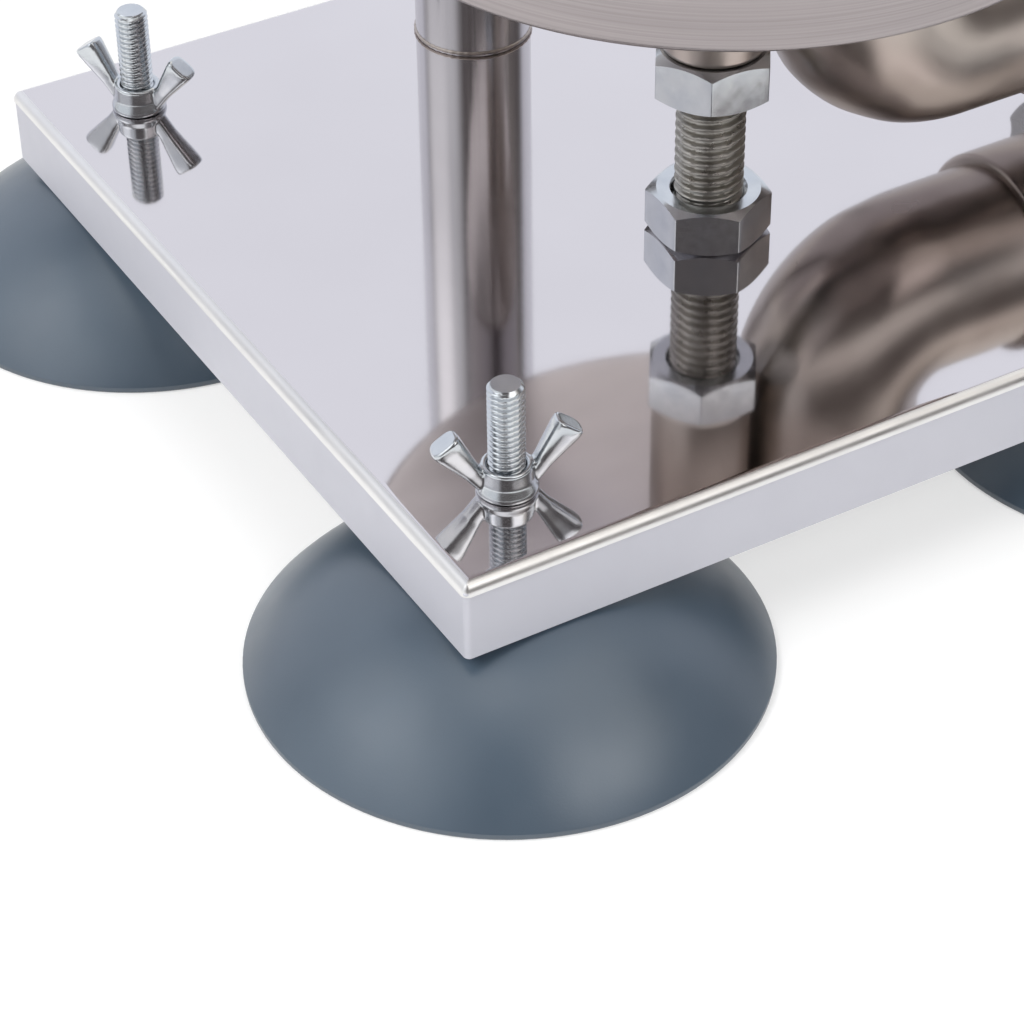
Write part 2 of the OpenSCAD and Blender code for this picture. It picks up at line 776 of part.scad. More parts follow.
module union_nut() {
    color(STEEL) translate([0, axis_y, outlet_z]) difference() {
        translate([nut_x, 0, 0]) rod_x(nut_d, nut_end - nut_x);
        translate([nut_x - over, 0, 0]) rod_x(nut_bore_d, nut_lip_x - nut_x + over);
        translate([nut_x, 0, 0]) rod_x(horn_neck_d + 2 * hole_play, nut_end - nut_x + over);
        for (k = [0:nut_lobes - 1])
            rotate([360 / nut_lobes * k, 0, 0])
                translate([nut_x - over, 0, nut_d / 2 + nut_scallop_r - nut_scallop_depth])
                    rod_x(2 * nut_scallop_r, nut_end - nut_x + 2 * over);
    }
}

// Tapered tube along +X from x = 0
module cone_x(d1, d2, l) {
    rotate([0, 90, 0]) cylinder(d1 = d1, d2 = d2, h = l);
}

module filling_tube() {
    neck_l = horn_flange_t + face_gap + nut_lip_t;
    taper_end = neck_l + horn_taper_l;
    total = taper_end + horn_l;
    color(STEEL) translate([horn_x, axis_y, outlet_z]) difference() {
        union() {
            rod_x(horn_flange_d, horn_flange_t);
            rod_x(horn_neck_d, neck_l);
            translate([neck_l, 0, 0]) cone_x(horn_neck_d, horn_d, horn_taper_l);
            translate([taper_end - eps, 0, 0]) rod_x(horn_d, horn_l + eps);
        }
        translate([-over, 0, 0]) rod_x(horn_neck_d - 2 * horn_wall, neck_l + over);
        translate([neck_l - eps, 0, 0]) cone_x(horn_neck_d - 2 * horn_wall, horn_bore_d, horn_taper_l + eps);
        translate([taper_end - eps, 0, 0]) rod_x(horn_bore_d, total);
    }
}

// Holder that steadies the cylinder on the column

module holder_bracket() {
    color(STEEL) translate([0, 0, holder_z]) difference() {
        union() {
            translate([0, axis_y, 0]) cylinder(r = band_r + holder_t, h = holder_h);
            translate([0, column_y, 0]) cylinder(r = collar_r, h = holder_h);
            translate([-holder_web_w / 2, axis_y, 0]) cube([holder_web_w, column_y - axis_y, holder_h]);
            translate([-ear_x, column_y, 0]) cube([2 * ear_x, collar_r + ear_l, holder_h]);
        }
        translate([0, axis_y, -over]) cylinder(r = band_r, h = holder_h + 2 * over);
        translate([0, column_y, -over]) cylinder(d = column_d + 2 * fit_gap, h = holder_h + 2 * over);
        translate([-holder_slit / 2, column_y, -over])
            cube([holder_slit, collar_r + ear_l + over, holder_h + 2 * over]);
        translate([-ear_x - over, ear_y, holder_h / 2]) rod_x(clamp_d + 2 * hole_play, 2 * ear_x + 2 * over);
    }
}

module holder_bolt() {
    color(ZINC) translate([0, ear_y, holder_z + holder_h / 2]) {
        translate([-ear_x, 0, 0]) rotate([0, -90, 0]) hex_body(clamp_af, clamp_head_h, false, true);
        translate([-ear_x - eps, 0, 0]) rotate([0, 90, 0])
            chamfered_rod(clamp_d, 2 * ear_x + clamp_head_h + 2, thread_chamfer);
    }
}

module holder_nut() {
    color(ZINC) translate([ear_x, ear_y, holder_z + holder_h / 2])
        rotate([0, 90, 0]) hex_nut(clamp_af, clamp_head_h, clamp_d + 2 * fit_gap);
}

// Gear head

head_l = head_rear - head_front;
head_mid = (head_rear + head_front) / 2;

// Hole that the rack runs through
module rack_hole(z, h) {
    w = rack_w + 2 * guide_gap;
    d = rack_t + 2 * guide_gap;
    translate([-w / 2, axis_y - d / 2, z]) cube([w, d, h]);
}

// Channel of floor and cheeks that carries the shafts
module head_frame() {
    color(STEEL) difference() {
        intersection() {
            translate([0, head_mid, head_top]) mirror([0, 0, 1])
                rounded_bar(head_w, head_l, head_h, head_bend_r);
            translate([0, head_mid, head_z]) rotate(90)
                rounded_bar(head_l, head_w + 2 * over, head_h, head_bend_r - cover_t);
        }
        translate([0, head_mid, head_top + over]) mirror([0, 0, 1])
            rounded_bar(head_in_w, head_l + 2 * over, head_h - cheek_t + over, head_bend_r - cheek_t);
        rack_hole(head_z - over, cheek_t + 2 * over);
        translate([0, column_y, head_z - over]) cylinder(d = column_d + 2 * fit_gap, h = cheek_t + 2 * over);
        for (y = [lay_y, crank_y])
            translate([-head_w, y, shaft_z]) rod_x(bush_d + 2 * fit_gap, 2 * head_w);
        for (y = cheek_screw_ys, z = cheek_screw_zs)
            translate([-head_w, y, z]) rod_x(screw_d + 2 * fit_gap, 2 * head_w);
    }
}

// Cover of top, front and rear walls over the channel
module head_cover() {
    wide = head_l + 2 * cover_t;
    color(STEEL) difference() {
        translate([0, head_mid, head_z]) rotate(90) rounded_bar(wide, head_w, head_h + cover_t, head_bend_r);
        translate([0, head_mid, head_z - over]) rotate(90)
            rounded_bar(head_l, head_w + 2 * over, head_h + over, head_bend_r - cover_t);
        rack_hole(head_top - over, cover_t + 2 * over);
        cover_screw_places() translate([0, 0, -over])
            cylinder(d = cover_screw_d + 2 * fit_gap, h = cover_t + 2 * over);
    }
}

module cover_screw_places() {
    for (p = [cover_screw_front, cover_screw_rear], side = [-1, 1])
        translate([side * p.x, p.y, head_top]) children();
}

module cover_screws() {
    color(ZINC) cover_screw_places() translate([0, 0, cover_t]) screw(cover_screw_d, cover_t + cover_screw_l);
}

module cheek_screws() {
    color(ZINC) for (y = cheek_screw_ys, z = cheek_screw_zs, side = [-1, 1])
        translate([side * head_w / 2, y, z]) rotate([0, side * 90, 0]) screw(screw_d, cheek_t + screw_l);
}

// Holes in a block for the screws that reach it
module block_screw_holes() {
    cover_screw_places() translate([0, 0, -cover_screw_l - over])
        cylinder(d = cover_screw_d + 2 * fit_gap, h = cover_screw_l + 2 * over);
    for (y = cheek_screw_ys, z = cheek_screw_zs, side = [-1, 1])
        translate([side * (cheek_x + over), y, z]) rotate([0, -side * 90, 0])
            cylinder(d = screw_d + 2 * fit_gap, h = screw_l + 2 * over);
}

// Block between the cheeks, trimmed to the channel's inner radius
module head_block(y0, y1) {
    intersection() {
        translate([-block_w / 2, y0, block_z]) cube([block_w, y1 - y0, block_h]);
        translate([0, head_mid, head_top]) mirror([0, 0, 1])
            rounded_bar(block_w, head_l, block_h, head_bend_r - cheek_t);
        translate([0, head_mid, head_z]) rotate(90)
            rounded_bar(head_l, head_w, head_h, head_bend_r - cover_t);
    }
}

module column_socket() {
    color(STEEL) difference() {
        head_block(column_y - socket_half, column_y + socket_half);
        translate([0, column_y, head_z]) cylinder(d = column_d + 2 * fit_gap, h = head_h + over);
        for (z = grub_zs)
            translate([0, column_y, z]) rotate([-90, 0, 0])
                cylinder(d = grub_d + 2 * fit_gap, h = socket_half + over);
        block_screw_holes();
    }
}

module grub_screws() {
    seat = column_d / 2 + fit_gap;
    color(ZINC) for (z = grub_zs)
        translate([0, column_y, z]) rotate([-90, 0, 0]) translate([0, 0, seat]) difference() {
            cylinder(d = grub_d, h = socket_wall - grub_in);
            translate([0, 0, socket_wall - grub_in - grub_hex_depth])
                cylinder(d = grub_d / 2, h = grub_hex_depth + over, $fn = 6);
        }
}

// Nylon block that holds the rack against its pinion
module rack_guide() {
    back = axis_y - rack_t / 2 - guide_gap;
    side = rack_w / 2 + guide_gap;
    color(NYLON) difference() {
        union() {
            head_block(head_front, back);
            for (s = [-1, 1])
                translate([s * (side + guide_lip_t / 2) - guide_lip_t / 2, back - eps, block_z])
                    cube([guide_lip_t, guide_lip_l + eps, block_h - 1]);
        }
        block_screw_holes();
    }
}

module shaft_bushes() {
    color(BRONZE) for (y = [lay_y, crank_y], side = [0, 180])
        translate([0, y, shaft_z]) rotate([0, 0, side]) difference() {
            union() {
                translate([cheek_x - bush_flange_t, 0, 0]) rod_x(bush_flange_d, bush_flange_t);
                translate([cheek_x - eps, 0, 0]) rod_x(bush_d, bush_end - cheek_x + eps);
            }
            rod_x(shaft_d + 2 * run_play, bush_end + over);
        }
}

// Crank

module crank_shaft() {
    low = -clip_x - clip_t - shaft_end;
    color(ZINC) translate([0, crank_y, shaft_z]) {
        translate([low, 0, 0]) rod_x(shaft_d, crank_end - low);
        translate([crank_end - eps, 0, 0]) rotate([0, 90, 0])
            chamfered_rod(crank_thread_d, crank_thread_l + eps, thread_chamfer);
    }
}

module drive_pinion() {
    color(ZINC) translate([gear_x, crank_y, shaft_z])
        gear_x_axis(gear_m, drive_teeth, gear_w, shaft_d + 2 * fit_gap, 180);
}

module crank_clip() {
    color(DARK) translate([-clip_x - clip_t, crank_y, shaft_z]) ring_x(clip_d, shaft_d + 2 * fit_gap, clip_t);
}

// Flat bar with a double bend that carries the grip clear of the cylinder
module crank_arm() {
    hub_r = crank_hub_d / 2;
    tip_r = crank_tip_d / 2;
    color(STEEL) translate([0, crank_y, shaft_z]) difference() {
        intersection() {
            rotate([90, 0, 0]) linear_extrude(crank_hub_d + 2 * over, center = true) polygon([
                [arm_x, hub_r], [crank_end, hub_r], [crank_end, -crank_knee],
                [arm_out_x + crank_t, -crank_elbow], [arm_out_x + crank_t, -crank_l - tip_r],
                [arm_out_x, -crank_l - tip_r], [arm_out_x, -crank_elbow - crank_t / 2],
                [arm_x, -crank_knee - crank_t / 2]
            ]);
            union() {
                rod_x(crank_hub_d, grip_x);
                translate([0, 0, -crank_l]) rod_x(crank_tip_d, grip_x);
                rotate([90, 0, 90]) linear_extrude(grip_x)
                    polygon([[-hub_r, 0], [hub_r, 0], [tip_r, -crank_l], [-tip_r, -crank_l]]);
            }
        }
        rod_x(shaft_d + 2 * fit_gap, crank_end + over);
        translate([0, 0, -crank_l]) rod_x(grip_bolt_d + 2 * fit_gap, grip_x + over);
    }
}

module crank_nut() {
    color(ZINC) translate([crank_end, crank_y, shaft_z])
        rotate([0, 90, 0]) hex_nut(crank_nut_af, crank_nut_h, crank_thread_d + 2 * fit_gap);
}

module grip_bolt() {
    color(ZINC) translate([0, crank_y, grip_z]) {
        translate([arm_out_x, 0, 0]) rod_x(grip_bolt_d, grip_end - head_pocket - arm_out_x + eps);
        translate([grip_end - head_pocket + face_gap, 0, 0]) rod_x(grip_head_d, grip_head_h);
        translate([grip_end - head_pocket - eps, 0, 0]) rod_x(grip_bolt_d, face_gap + 2 * eps);
    }
}

// Radius of the grip along its length, from 0 to 1
function grip_radius(t) =
    t < 0.06 ? grip_waist_d / 2 * (0.86 + 0.14 * sin(t / 0.06 * 90))
    : t > 0.94 ? grip_waist_d / 2 * (0.8 + 0.2 * sin((1 - t) / 0.06 * 90))
    : grip_waist_d / 2 + (grip_d - grip_waist_d) / 2 * sin((t - 0.06) / 0.88 * 180);

module crank_grip() {
    steps = 24;
    side = [for (k = [0:steps]) [grip_radius(k / steps), grip_l * k / steps]];
    outline = concat([[0, 0]], side, [[0, grip_l]]);
    color(DARK) translate([grip_x, crank_y, grip_z]) difference() {
        rotate([0, 90, 0]) rotate_extrude() polygon(outline);
        translate([-over, 0, 0]) rod_x(grip_bolt_d + 2 * run_play, grip_l + 2 * over);
        translate([grip_l - head_pocket, 0, 0]) rod_x(grip_head_d + 2 * hole_play, head_pocket + over);
    }
}

// Layshaft

module layshaft() {
    reach = clip_x + clip_t + shaft_end;
    color(ZINC) translate([-reach, lay_y, shaft_z]) rod_x(shaft_d, 2 * reach);
}

module reduction_gear() {
    color(ZINC) translate([gear_x, lay_y, shaft_z])
        gear_x_axis(gear_m, reduction_teeth, gear_w, shaft_d + 2 * fit_gap, 180 / reduction_teeth);
}

module rack_pinion() {
    color(ZINC) translate([-rack_pinion_w / 2, lay_y, shaft_z])
        gear_x_axis(rack_m, rack_teeth, rack_pinion_w, shaft_d + 2 * fit_gap, 180);
}

module layshaft_clips() {
    color(DARK) for (x = [-clip_x - clip_t, clip_x])
        translate([x, lay_y, shaft_z]) ring_x(clip_d, shaft_d + 2 * fit_gap, clip_t);
}

// Rack and piston

// A tooth gap of the rack in Y and Z, centred on z = 0
module rack_gap() {
    tip = addendum * rack_m;
    root = dedendum * rack_m;
    half = rack_pitch / 4 + tooth_play;
    slope = tan(pressure);
    rotate([90, 0, 90]) linear_extrude(rack_w + 2 * over, center = true) polygon([
        [-root, -half + root * slope], [-root, half - root * slope],
        [tip + over, half + (tip + over) * slope], [tip + over, -half - (tip + over) * slope]
    ]);
}

module rack() {
    color(STEEL) difference() {
        translate([-rack_w / 2, axis_y - rack_t / 2, piston_top])
            cube([rack_w, rack_t, rack_top - piston_top]);
        for (k = [-gaps_below:gaps_above])
            translate([0, pitch_y, shaft_z + k * rack_pitch]) rack_gap();
        translate([-rack_w / 2 - over, axis_y, piston_top + hub_h / 2])
            rod_x(hub_pin_d + 2 * fit_gap, rack_w + 2 * over);
    }
}

module rack_cap() {
    color(DARK) translate([0, axis_y, rack_top - cap_socket]) difference() {
        folded_block(cap_w, cap_w, cap_h, cap_round);
        translate([-rack_w / 2 - fit_gap, -rack_t / 2 - fit_gap, -over])
            cube([rack_w + 2 * fit_gap, rack_t + 2 * fit_gap, cap_socket + over]);
    }
}

module piston_plate() {
    color(STEEL) translate([0, axis_y, piston_z]) difference() {
        union() {
            cylinder(r = piston_r, h = piston_t);
            translate([0, 0, piston_t - eps]) cylinder(d = hub_d, h = hub_h + eps);
        }
        translate([0, 0, (piston_t - seal_h) / 2]) difference() {
            cylinder(r = piston_r + over, h = seal_h);
            translate([0, 0, -over]) cylinder(r = groove_r, h = seal_h + 2 * over);
        }
        translate([-rack_w / 2 - fit_gap, -rack_t / 2 - fit_gap, piston_t])
            cube([rack_w + 2 * fit_gap, rack_t + 2 * fit_gap, hub_h + over]);
        translate([-hub_d, 0, piston_t + hub_h / 2]) rod_x(hub_pin_d + 2 * fit_gap, 2 * hub_d);
        translate([vent_x, 0, -over]) cylinder(d = vent_d + 2 * run_play, h = piston_t + 2 * over);
    }
}

module piston_seal() {
    color(NYLON) translate([0, axis_y, seal_z + fit_gap]) difference() {
        cylinder(r = seal_r, h = seal_h - 2 * fit_gap);
        translate([0, 0, -over]) cylinder(r = groove_r + fit_gap, h = seal_h + 2 * over);
    }
}

module hub_pin() {
    reach = hub_d / 2 - hub_pin_in;
    color(ZINC) translate([-reach, axis_y, piston_top + hub_h / 2]) rod_x(hub_pin_d, 2 * reach);
}

// Valve that lets the air out above the meat
module vent_valve() {
    color(NYLON) translate([vent_x, axis_y, 0]) {
        translate([0, 0, piston_z + vent_in]) cylinder(d = vent_d, h = piston_t - vent_in + face_gap);
        translate([0, 0, piston_top + face_gap / 2]) chamfered_rod(vent_head_d, vent_head_h, vent_bevel);
    }
}

base_pan();
cup_front_left();
cup_front_right();
cup_rear_left();
cup_rear_right();
foot_studs();
wing_nut_front_left();
wing_nut_front_right();
wing_nut_rear_left();
wing_nut_rear_right();
column();
column_plug();
column_bolt();
column_washer();
cylinder_can();  // cylinder
support_post();
support_stud();
support_nuts();
outlet_elbow();
outlet_ferrule();
outlet_gasket();
union_nut();
filling_tube();
holder_bracket();
holder_bolt();
holder_nut();
head_frame();
head_cover();
cover_screws();
cheek_screws();
column_socket();
grub_screws();
rack_guide();
shaft_bushes();
crank_shaft();
drive_pinion();
crank_clip();
crank_arm();
crank_nut();
grip_bolt();
crank_grip();
layshaft();
reduction_gear();
rack_pinion();
layshaft_clips();
rack();
rack_cap();
piston_plate();
piston_seal();
hub_pin();
vent_valve();
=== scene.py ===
import json
import math

import bmesh
import bpy
from mathutils import Matrix, Vector, noise

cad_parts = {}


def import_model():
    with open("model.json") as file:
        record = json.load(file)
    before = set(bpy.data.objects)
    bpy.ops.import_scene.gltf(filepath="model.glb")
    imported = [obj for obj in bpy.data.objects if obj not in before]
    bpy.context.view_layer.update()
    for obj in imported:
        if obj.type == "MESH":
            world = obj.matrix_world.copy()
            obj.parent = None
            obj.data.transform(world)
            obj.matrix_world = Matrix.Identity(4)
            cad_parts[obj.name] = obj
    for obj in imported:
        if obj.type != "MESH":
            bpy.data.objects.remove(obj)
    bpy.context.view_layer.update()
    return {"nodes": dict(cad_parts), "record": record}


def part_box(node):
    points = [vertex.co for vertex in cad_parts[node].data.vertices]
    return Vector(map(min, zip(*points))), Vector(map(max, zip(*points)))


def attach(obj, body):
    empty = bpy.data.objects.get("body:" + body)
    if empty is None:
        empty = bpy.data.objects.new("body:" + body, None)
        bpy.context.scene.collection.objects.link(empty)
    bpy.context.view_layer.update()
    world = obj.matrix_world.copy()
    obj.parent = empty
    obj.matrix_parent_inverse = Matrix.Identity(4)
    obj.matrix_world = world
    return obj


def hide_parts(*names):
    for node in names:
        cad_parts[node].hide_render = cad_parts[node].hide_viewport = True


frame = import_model()

MM = 0.001
FEET = ("front_left", "front_right", "rear_left", "rear_right")
BODY_OF = {node: body for body, nodes in frame["record"]["behaviour"]["bodies"].items() for node in nodes}


# Places from the frame

def span(node):
    low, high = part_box(node)
    return Vector(low), Vector(high)


def middle(node):
    low, high = span(node)
    return (low + high) / 2


# Mesh parts: each is a pair of points and faces

class Shape:
    """Parts put together into one piece, each with the number of its material."""

    def __init__(self):
        self.points = []
        self.faces = []
        self.marks = []

    def add(self, part, place=Matrix(), mark=0):
        points, faces = part
        start = len(self.points)
        self.points += [place @ Vector(p) for p in points]
        self.faces += [[start + i for i in face] for face in faces]
        self.marks += [mark] * len(faces)
        return self


def lofted(rows, loop=False, caps=False):
    """Skin over rows of points. A row of one point is a pole. Each row closes on itself."""
    points = []
    numbers = []
    faces = []
    for row in rows:
        numbers.append(list(range(len(points), len(points) + len(row))))
        points += row
    pairs = list(zip(numbers, numbers[1:]))
    if loop:
        pairs.append((numbers[-1], numbers[0]))
    for low, high in pairs:
        count = max(len(low), len(high))
        for k in range(count):
            n = (k + 1) % count
            corners = (low[k % len(low)], low[n % len(low)], high[n % len(high)], high[k % len(high)])
            face = list(dict.fromkeys(corners))
            if len(face) > 2:
                faces.append(face)
    if caps:
        faces.append(numbers[0])
        faces.append(numbers[-1])
    return points, faces


RING_COUNT = 96
ARC_SHARE = 0.49


def eased(share):
    """Smooth step from 0 to 1."""
    share = min(max(share, 0), 1)
    return share * share * (3 - 2 * share)


def ring(radius, height, count=RING_COUNT, x=0.0):
    steps = [2 * math.pi * k / count for k in range(count)]
    return [(x + radius * math.cos(a), radius * math.sin(a), height) for a in steps]


def turned(profile, count=RING_COUNT, loop=False):
    """A profile of (radius, height) points turned round Z."""
    rows = [ring(r, z, count) if r > 0 else [(0.0, 0.0, z)] for r, z in profile]
    return lofted(rows, loop)


def rounded(corners, loop=True, steps=4):
    """An outline of (a, b, radius) corners, each rounded by an arc."""
    outline = []
    count = len(corners)
    for k, (a, b, radius) in enumerate(corners):
        corner = Vector((a, b))
        if radius == 0 or (not loop and k in (0, count - 1)):
            outline.append((a, b))
            continue
        before = Vector(corners[k - 1][:2]) - corner
        after = Vector(corners[(k + 1) % count][:2]) - corner
        half = before.angle(after) / 2
        reach = min(radius / math.tan(half), ARC_SHARE * before.length, ARC_SHARE * after.length)
        radius = reach * math.tan(half)
        centre = corner + (before.normalized() + after.normalized()).normalized() * radius / math.sin(half)
        first = corner + before.normalized() * reach - centre
        last = corner + after.normalized() * reach - centre
        turn = first.angle_signed(last)
        for s in range(steps + 1):
            spoke = first.copy()
            spoke.rotate(Matrix.Rotation(-turn * s / steps, 2))
            outline.append(tuple(centre + spoke))
    return outline


def along_x(x, y, z):
    """Place that turns +Z to +X."""
    return Matrix.Translation((x, y, z)) @ Matrix.Rotation(math.pi / 2, 4, "Y")


def at(x, y, z, turn=0.0):
    """Place turned round Z by degrees."""
    return Matrix.Translation((x, y, z)) @ Matrix.Rotation(math.radians(turn), 4, "Z")


CREST_SHARE = 0.07
ROOT_SHARE = 0.36
THREAD_DEPTH = 0.52
THREAD_ROWS = 12
THREAD_BLUNT = 0.15
END_DISH = 0.05 * MM


def thread_cut(turns):
    """Share of the thread's depth at a number of turns along it."""
    away = abs((turns + 0.5) % 1 - 0.5)
    return eased((away - CREST_SHARE) / (ROOT_SHARE - CREST_SHARE))


def threaded(diameter, pitch, low, high, bevels, count):
    """Rod with a cut thread from low to high, its two ends bevelled."""
    rows = []
    total = round((high - low) / pitch * THREAD_ROWS)
    for k in range(total + 1):
        z = low + (high - low) * k / total
        cone = min(bevels[0] * THREAD_BLUNT + z - low, bevels[1] * THREAD_BLUNT + high - z)
        limit = diameter / 2 - max(0, max(bevels) - cone)
        row = []
        for a, spoke in enumerate(ring(1, 0, count)):
            cut = THREAD_DEPTH * pitch * thread_cut(z / pitch - a / count)
            radius = min(diameter / 2 - cut, limit)
            row.append((spoke[0] * radius, spoke[1] * radius, z))
        rows.append(row)
    return lofted([[(0, 0, low + END_DISH)]] + rows + [[(0, 0, high - END_DISH)]])


NUT_FACE_SHARE = 0.95
NUT_SLOPE = math.tan(math.radians(28))
NUT_SINK = 0.7 * MM
HEX_CORNER = 0.35 * MM
HEX_SIDE_STEPS = 10


def hexagon(flats):
    """Outline of a hexagon with rounded corners, as (angle, radius) pairs."""
    reach = flats / math.sqrt(3)
    turns = [math.pi / 3 * k for k in range(6)]
    sides = rounded([(reach * math.cos(a), reach * math.sin(a), HEX_CORNER) for a in turns])
    outline = []
    for k, first in enumerate(sides):
        last = sides[(k + 1) % len(sides)]
        gap = math.dist(first, last)
        steps = HEX_SIDE_STEPS if gap > HEX_CORNER else 1
        for s in range(steps):
            x = first[0] + (last[0] - first[0]) * s / steps
            y = first[1] + (last[1] - first[1]) * s / steps
            outline.append((math.atan2(y, x), math.hypot(x, y)))
    return outline


def hex_nut(flats, height, bore):
    """Hexagon nut with turned bevels and a countersunk bore."""
    outline = hexagon(flats)
    face = flats / 2 * NUT_FACE_SHARE

    def level(radius, z):
        return [(radius * math.cos(a), radius * math.sin(a), z) for a, _ in outline]

    def side(z, way):
        row = []
        for a, radius in outline:
            drop = max(0, radius - face) * NUT_SLOPE
            row.append((radius * math.cos(a), radius * math.sin(a), z + way * drop))
        return row

    rim = bore + NUT_SINK
    outside = [level(face, 0), side(0, 1), side(height, -1), level(face, height)]
    inside = [level(rim, height), level(bore, height - NUT_SINK), level(bore, NUT_SINK), level(rim, 0)]
    return lofted(outside + inside, loop=True)


# Pieces

def finished(node, mesh, materials, sharp):
    """A piece of that mesh in the node's stead, smooth but for edges sharper than an angle."""
    for material in materials:
        mesh.materials.append(material)
    mesh.shade_smooth()
    mesh.set_sharp_from_angle(angle=math.radians(sharp))
    piece = bpy.data.objects.new(node + "_look", mesh)
    bpy.context.scene.collection.objects.link(piece)
    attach(piece, BODY_OF[node])
    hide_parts(node)
    return piece


def mesh_of(name, shape):
    """The shape's mesh, its faces turned outwards."""
    mesh = bpy.data.meshes.new(name)
    mesh.from_pydata(shape.points, [], shape.faces)
    mesh.polygons.foreach_set("material_index", shape.marks)
    build = bmesh.new()
    build.from_mesh(mesh)
    bmesh.ops.recalc_face_normals(build, faces=build.faces)
    build.to_mesh(mesh)
    build.free()
    return mesh


def make(node, shape, *materials, sharp=35):
    """The piece that stands for a node."""
    finished(node, mesh_of(node + "_look", shape), materials, sharp)


EDGE_ANGLE = math.radians(28)
EDGE_BEVEL = 0.3 * MM
FLAT_ANGLE = math.radians(0.5)
WELD_GAP = 0.002 * MM


def dress(node, material):
    """The node's own shape with its edges broken."""
    build = bmesh.new()
    build.from_mesh(frame["nodes"][node].data)
    bmesh.ops.remove_doubles(build, verts=build.verts, dist=WELD_GAP)
    bmesh.ops.dissolve_limit(build, angle_limit=FLAT_ANGLE, verts=build.verts, edges=build.edges)
    edges = [e for e in build.edges if e.is_manifold and e.calc_face_angle(0) > EDGE_ANGLE]
    bmesh.ops.bevel(build, geom=edges, offset=EDGE_BEVEL, segments=2, profile=0.5, affect="EDGES",
                    clamp_overlap=True)
    mesh = bpy.data.meshes.new(node + "_look")
    build.to_mesh(mesh)
    build.free()
    piece = finished(node, mesh, [material], sharp=30)
    flatten = piece.modifiers.new("flat_faces", "WEIGHTED_NORMAL")
    flatten.keep_sharp = True


# Materials

# Numbers of the Mix node's colour sockets, which share their names with its other sockets
MIX_FIRST = 6
MIX_LAST = 7
MIX_RESULT = 2


class Surface:
    """A material's nodes round one Principled shader."""

    def __init__(self, name, colour, roughness, metallic=1.0):
        self.material = bpy.data.materials.new(name)
        self.material.use_nodes = True
        self.tree = self.material.node_tree
        self.shader = self.tree.nodes["Principled BSDF"]
        self.set("Base Color", (*colour, 1))
        self.set("Metallic", metallic)
        self.set("Roughness", roughness)
        self.place = self.add("ShaderNodeTexCoord").outputs["Object"]

    def set(self, socket, value):
        self.shader.inputs[socket].default_value = value

    def add(self, kind, **values):
        node = self.tree.nodes.new(kind)
        for key, value in values.items():
            setattr(node, key, value)
        return node

    def join(self, source, node, socket):
        self.tree.links.new(source, node.inputs[socket])

    def noise(self, scale, detail, stretch=(1, 1, 1)):
        """Noise in cycles a metre, stretched along the axes."""
        mapping = self.add("ShaderNodeMapping")
        mapping.inputs["Scale"].default_value = stretch
        self.join(self.place, mapping, "Vector")
        pattern = self.add("ShaderNodeTexNoise")
        pattern.inputs["Scale"].default_value = scale
        pattern.inputs["Detail"].default_value = detail
        self.join(mapping.outputs["Vector"], pattern, "Vector")
        return pattern.outputs["Fac"]

    def spread(self, source, low, high, start=0.3, end=0.7):
        """The source's values from start to end, mapped to low and high."""
        remap = self.add("ShaderNodeMapRange")
        remap.inputs["From Min"].default_value = start
        remap.inputs["From Max"].default_value = end
        remap.inputs["To Min"].default_value = low
        remap.inputs["To Max"].default_value = high
        self.join(source, remap, "Value")
        return remap.outputs["Result"]

    def roughen(self, source, low, high, start=0.3, end=0.7):
        self.join(self.spread(source, low, high, start, end), self.shader, "Roughness")

    def tint(self, source, first, last, start=0.3, end=0.7):
        """Base colour between two colours."""
        mix = self.add("ShaderNodeMix", data_type="RGBA")
        mix.inputs[MIX_FIRST].default_value = (*first, 1)
        mix.inputs[MIX_LAST].default_value = (*last, 1)
        self.join(self.spread(source, 0, 1, start, end), mix, "Factor")
        self.join(mix.outputs[MIX_RESULT], self.shader, "Base Color")

    def bump(self, *layers):
        """Layers of (source, height in metres), one on the other."""
        below = None
        for source, height in layers:
            layer = self.add("ShaderNodeBump")
            layer.inputs["Distance"].default_value = height
            self.join(source, layer, "Height")
            if below:
                self.join(below, layer, "Normal")
            below = layer.outputs["Normal"]
        self.join(below, self.shader, "Normal")


def brushed(name, first, last, lines, rough, height):
    """Steel with fine parallel lines. lines stretches the noise: small along the lines, large across."""
    steel = Surface(name, first, rough[0])
    fine = steel.noise(1, 4, lines)
    broad = steel.noise(0.3, 4, lines)
    steel.tint(broad, first, last)
    steel.roughen(fine, *rough)
    steel.bump((fine, height))
    return steel.material


def mirror_steel():
    steel = Surface("mirror_steel", (0.69, 0.66, 0.67), 0.055)
    steel.roughen(steel.noise(60, 4), 0.045, 0.065)
    steel.tint(steel.noise(18, 3), (0.675, 0.645, 0.655), (0.705, 0.675, 0.685))
    steel.bump((steel.noise(14, 1), 0.05 * MM), (steel.noise(900, 2, (1, 0.05, 1)), 0.0006 * MM))
    return steel.material


def satin_steel():
    steel = Surface("satin_steel", (0.64, 0.64, 0.7), 0.5, metallic=0.15)
    steel.tint(steel.noise(30, 3), (0.625, 0.625, 0.685), (0.655, 0.655, 0.715))
    steel.roughen(steel.noise(200, 4), 0.45, 0.55)
    steel.bump((steel.noise(1600, 2), 0.002 * MM))
    return steel.material


# Fold of the pan's sheet: its tone is lighter than the mirror plate of the same sheet. This is painted
# highlight, added to the real highlight that the fold's curve catches from the soft box.
def fold_steel_painted_highlight():
    steel = Surface("fold_steel_painted_highlight", (0.82, 0.81, 0.8), 0.28)
    steel.tint(steel.noise(40, 3), (0.79, 0.78, 0.775), (0.85, 0.84, 0.83))
    steel.roughen(steel.noise(150, 4), 0.32, 0.42)
    steel.bump((steel.noise(120, 2), 0.02 * MM))
    return steel.material


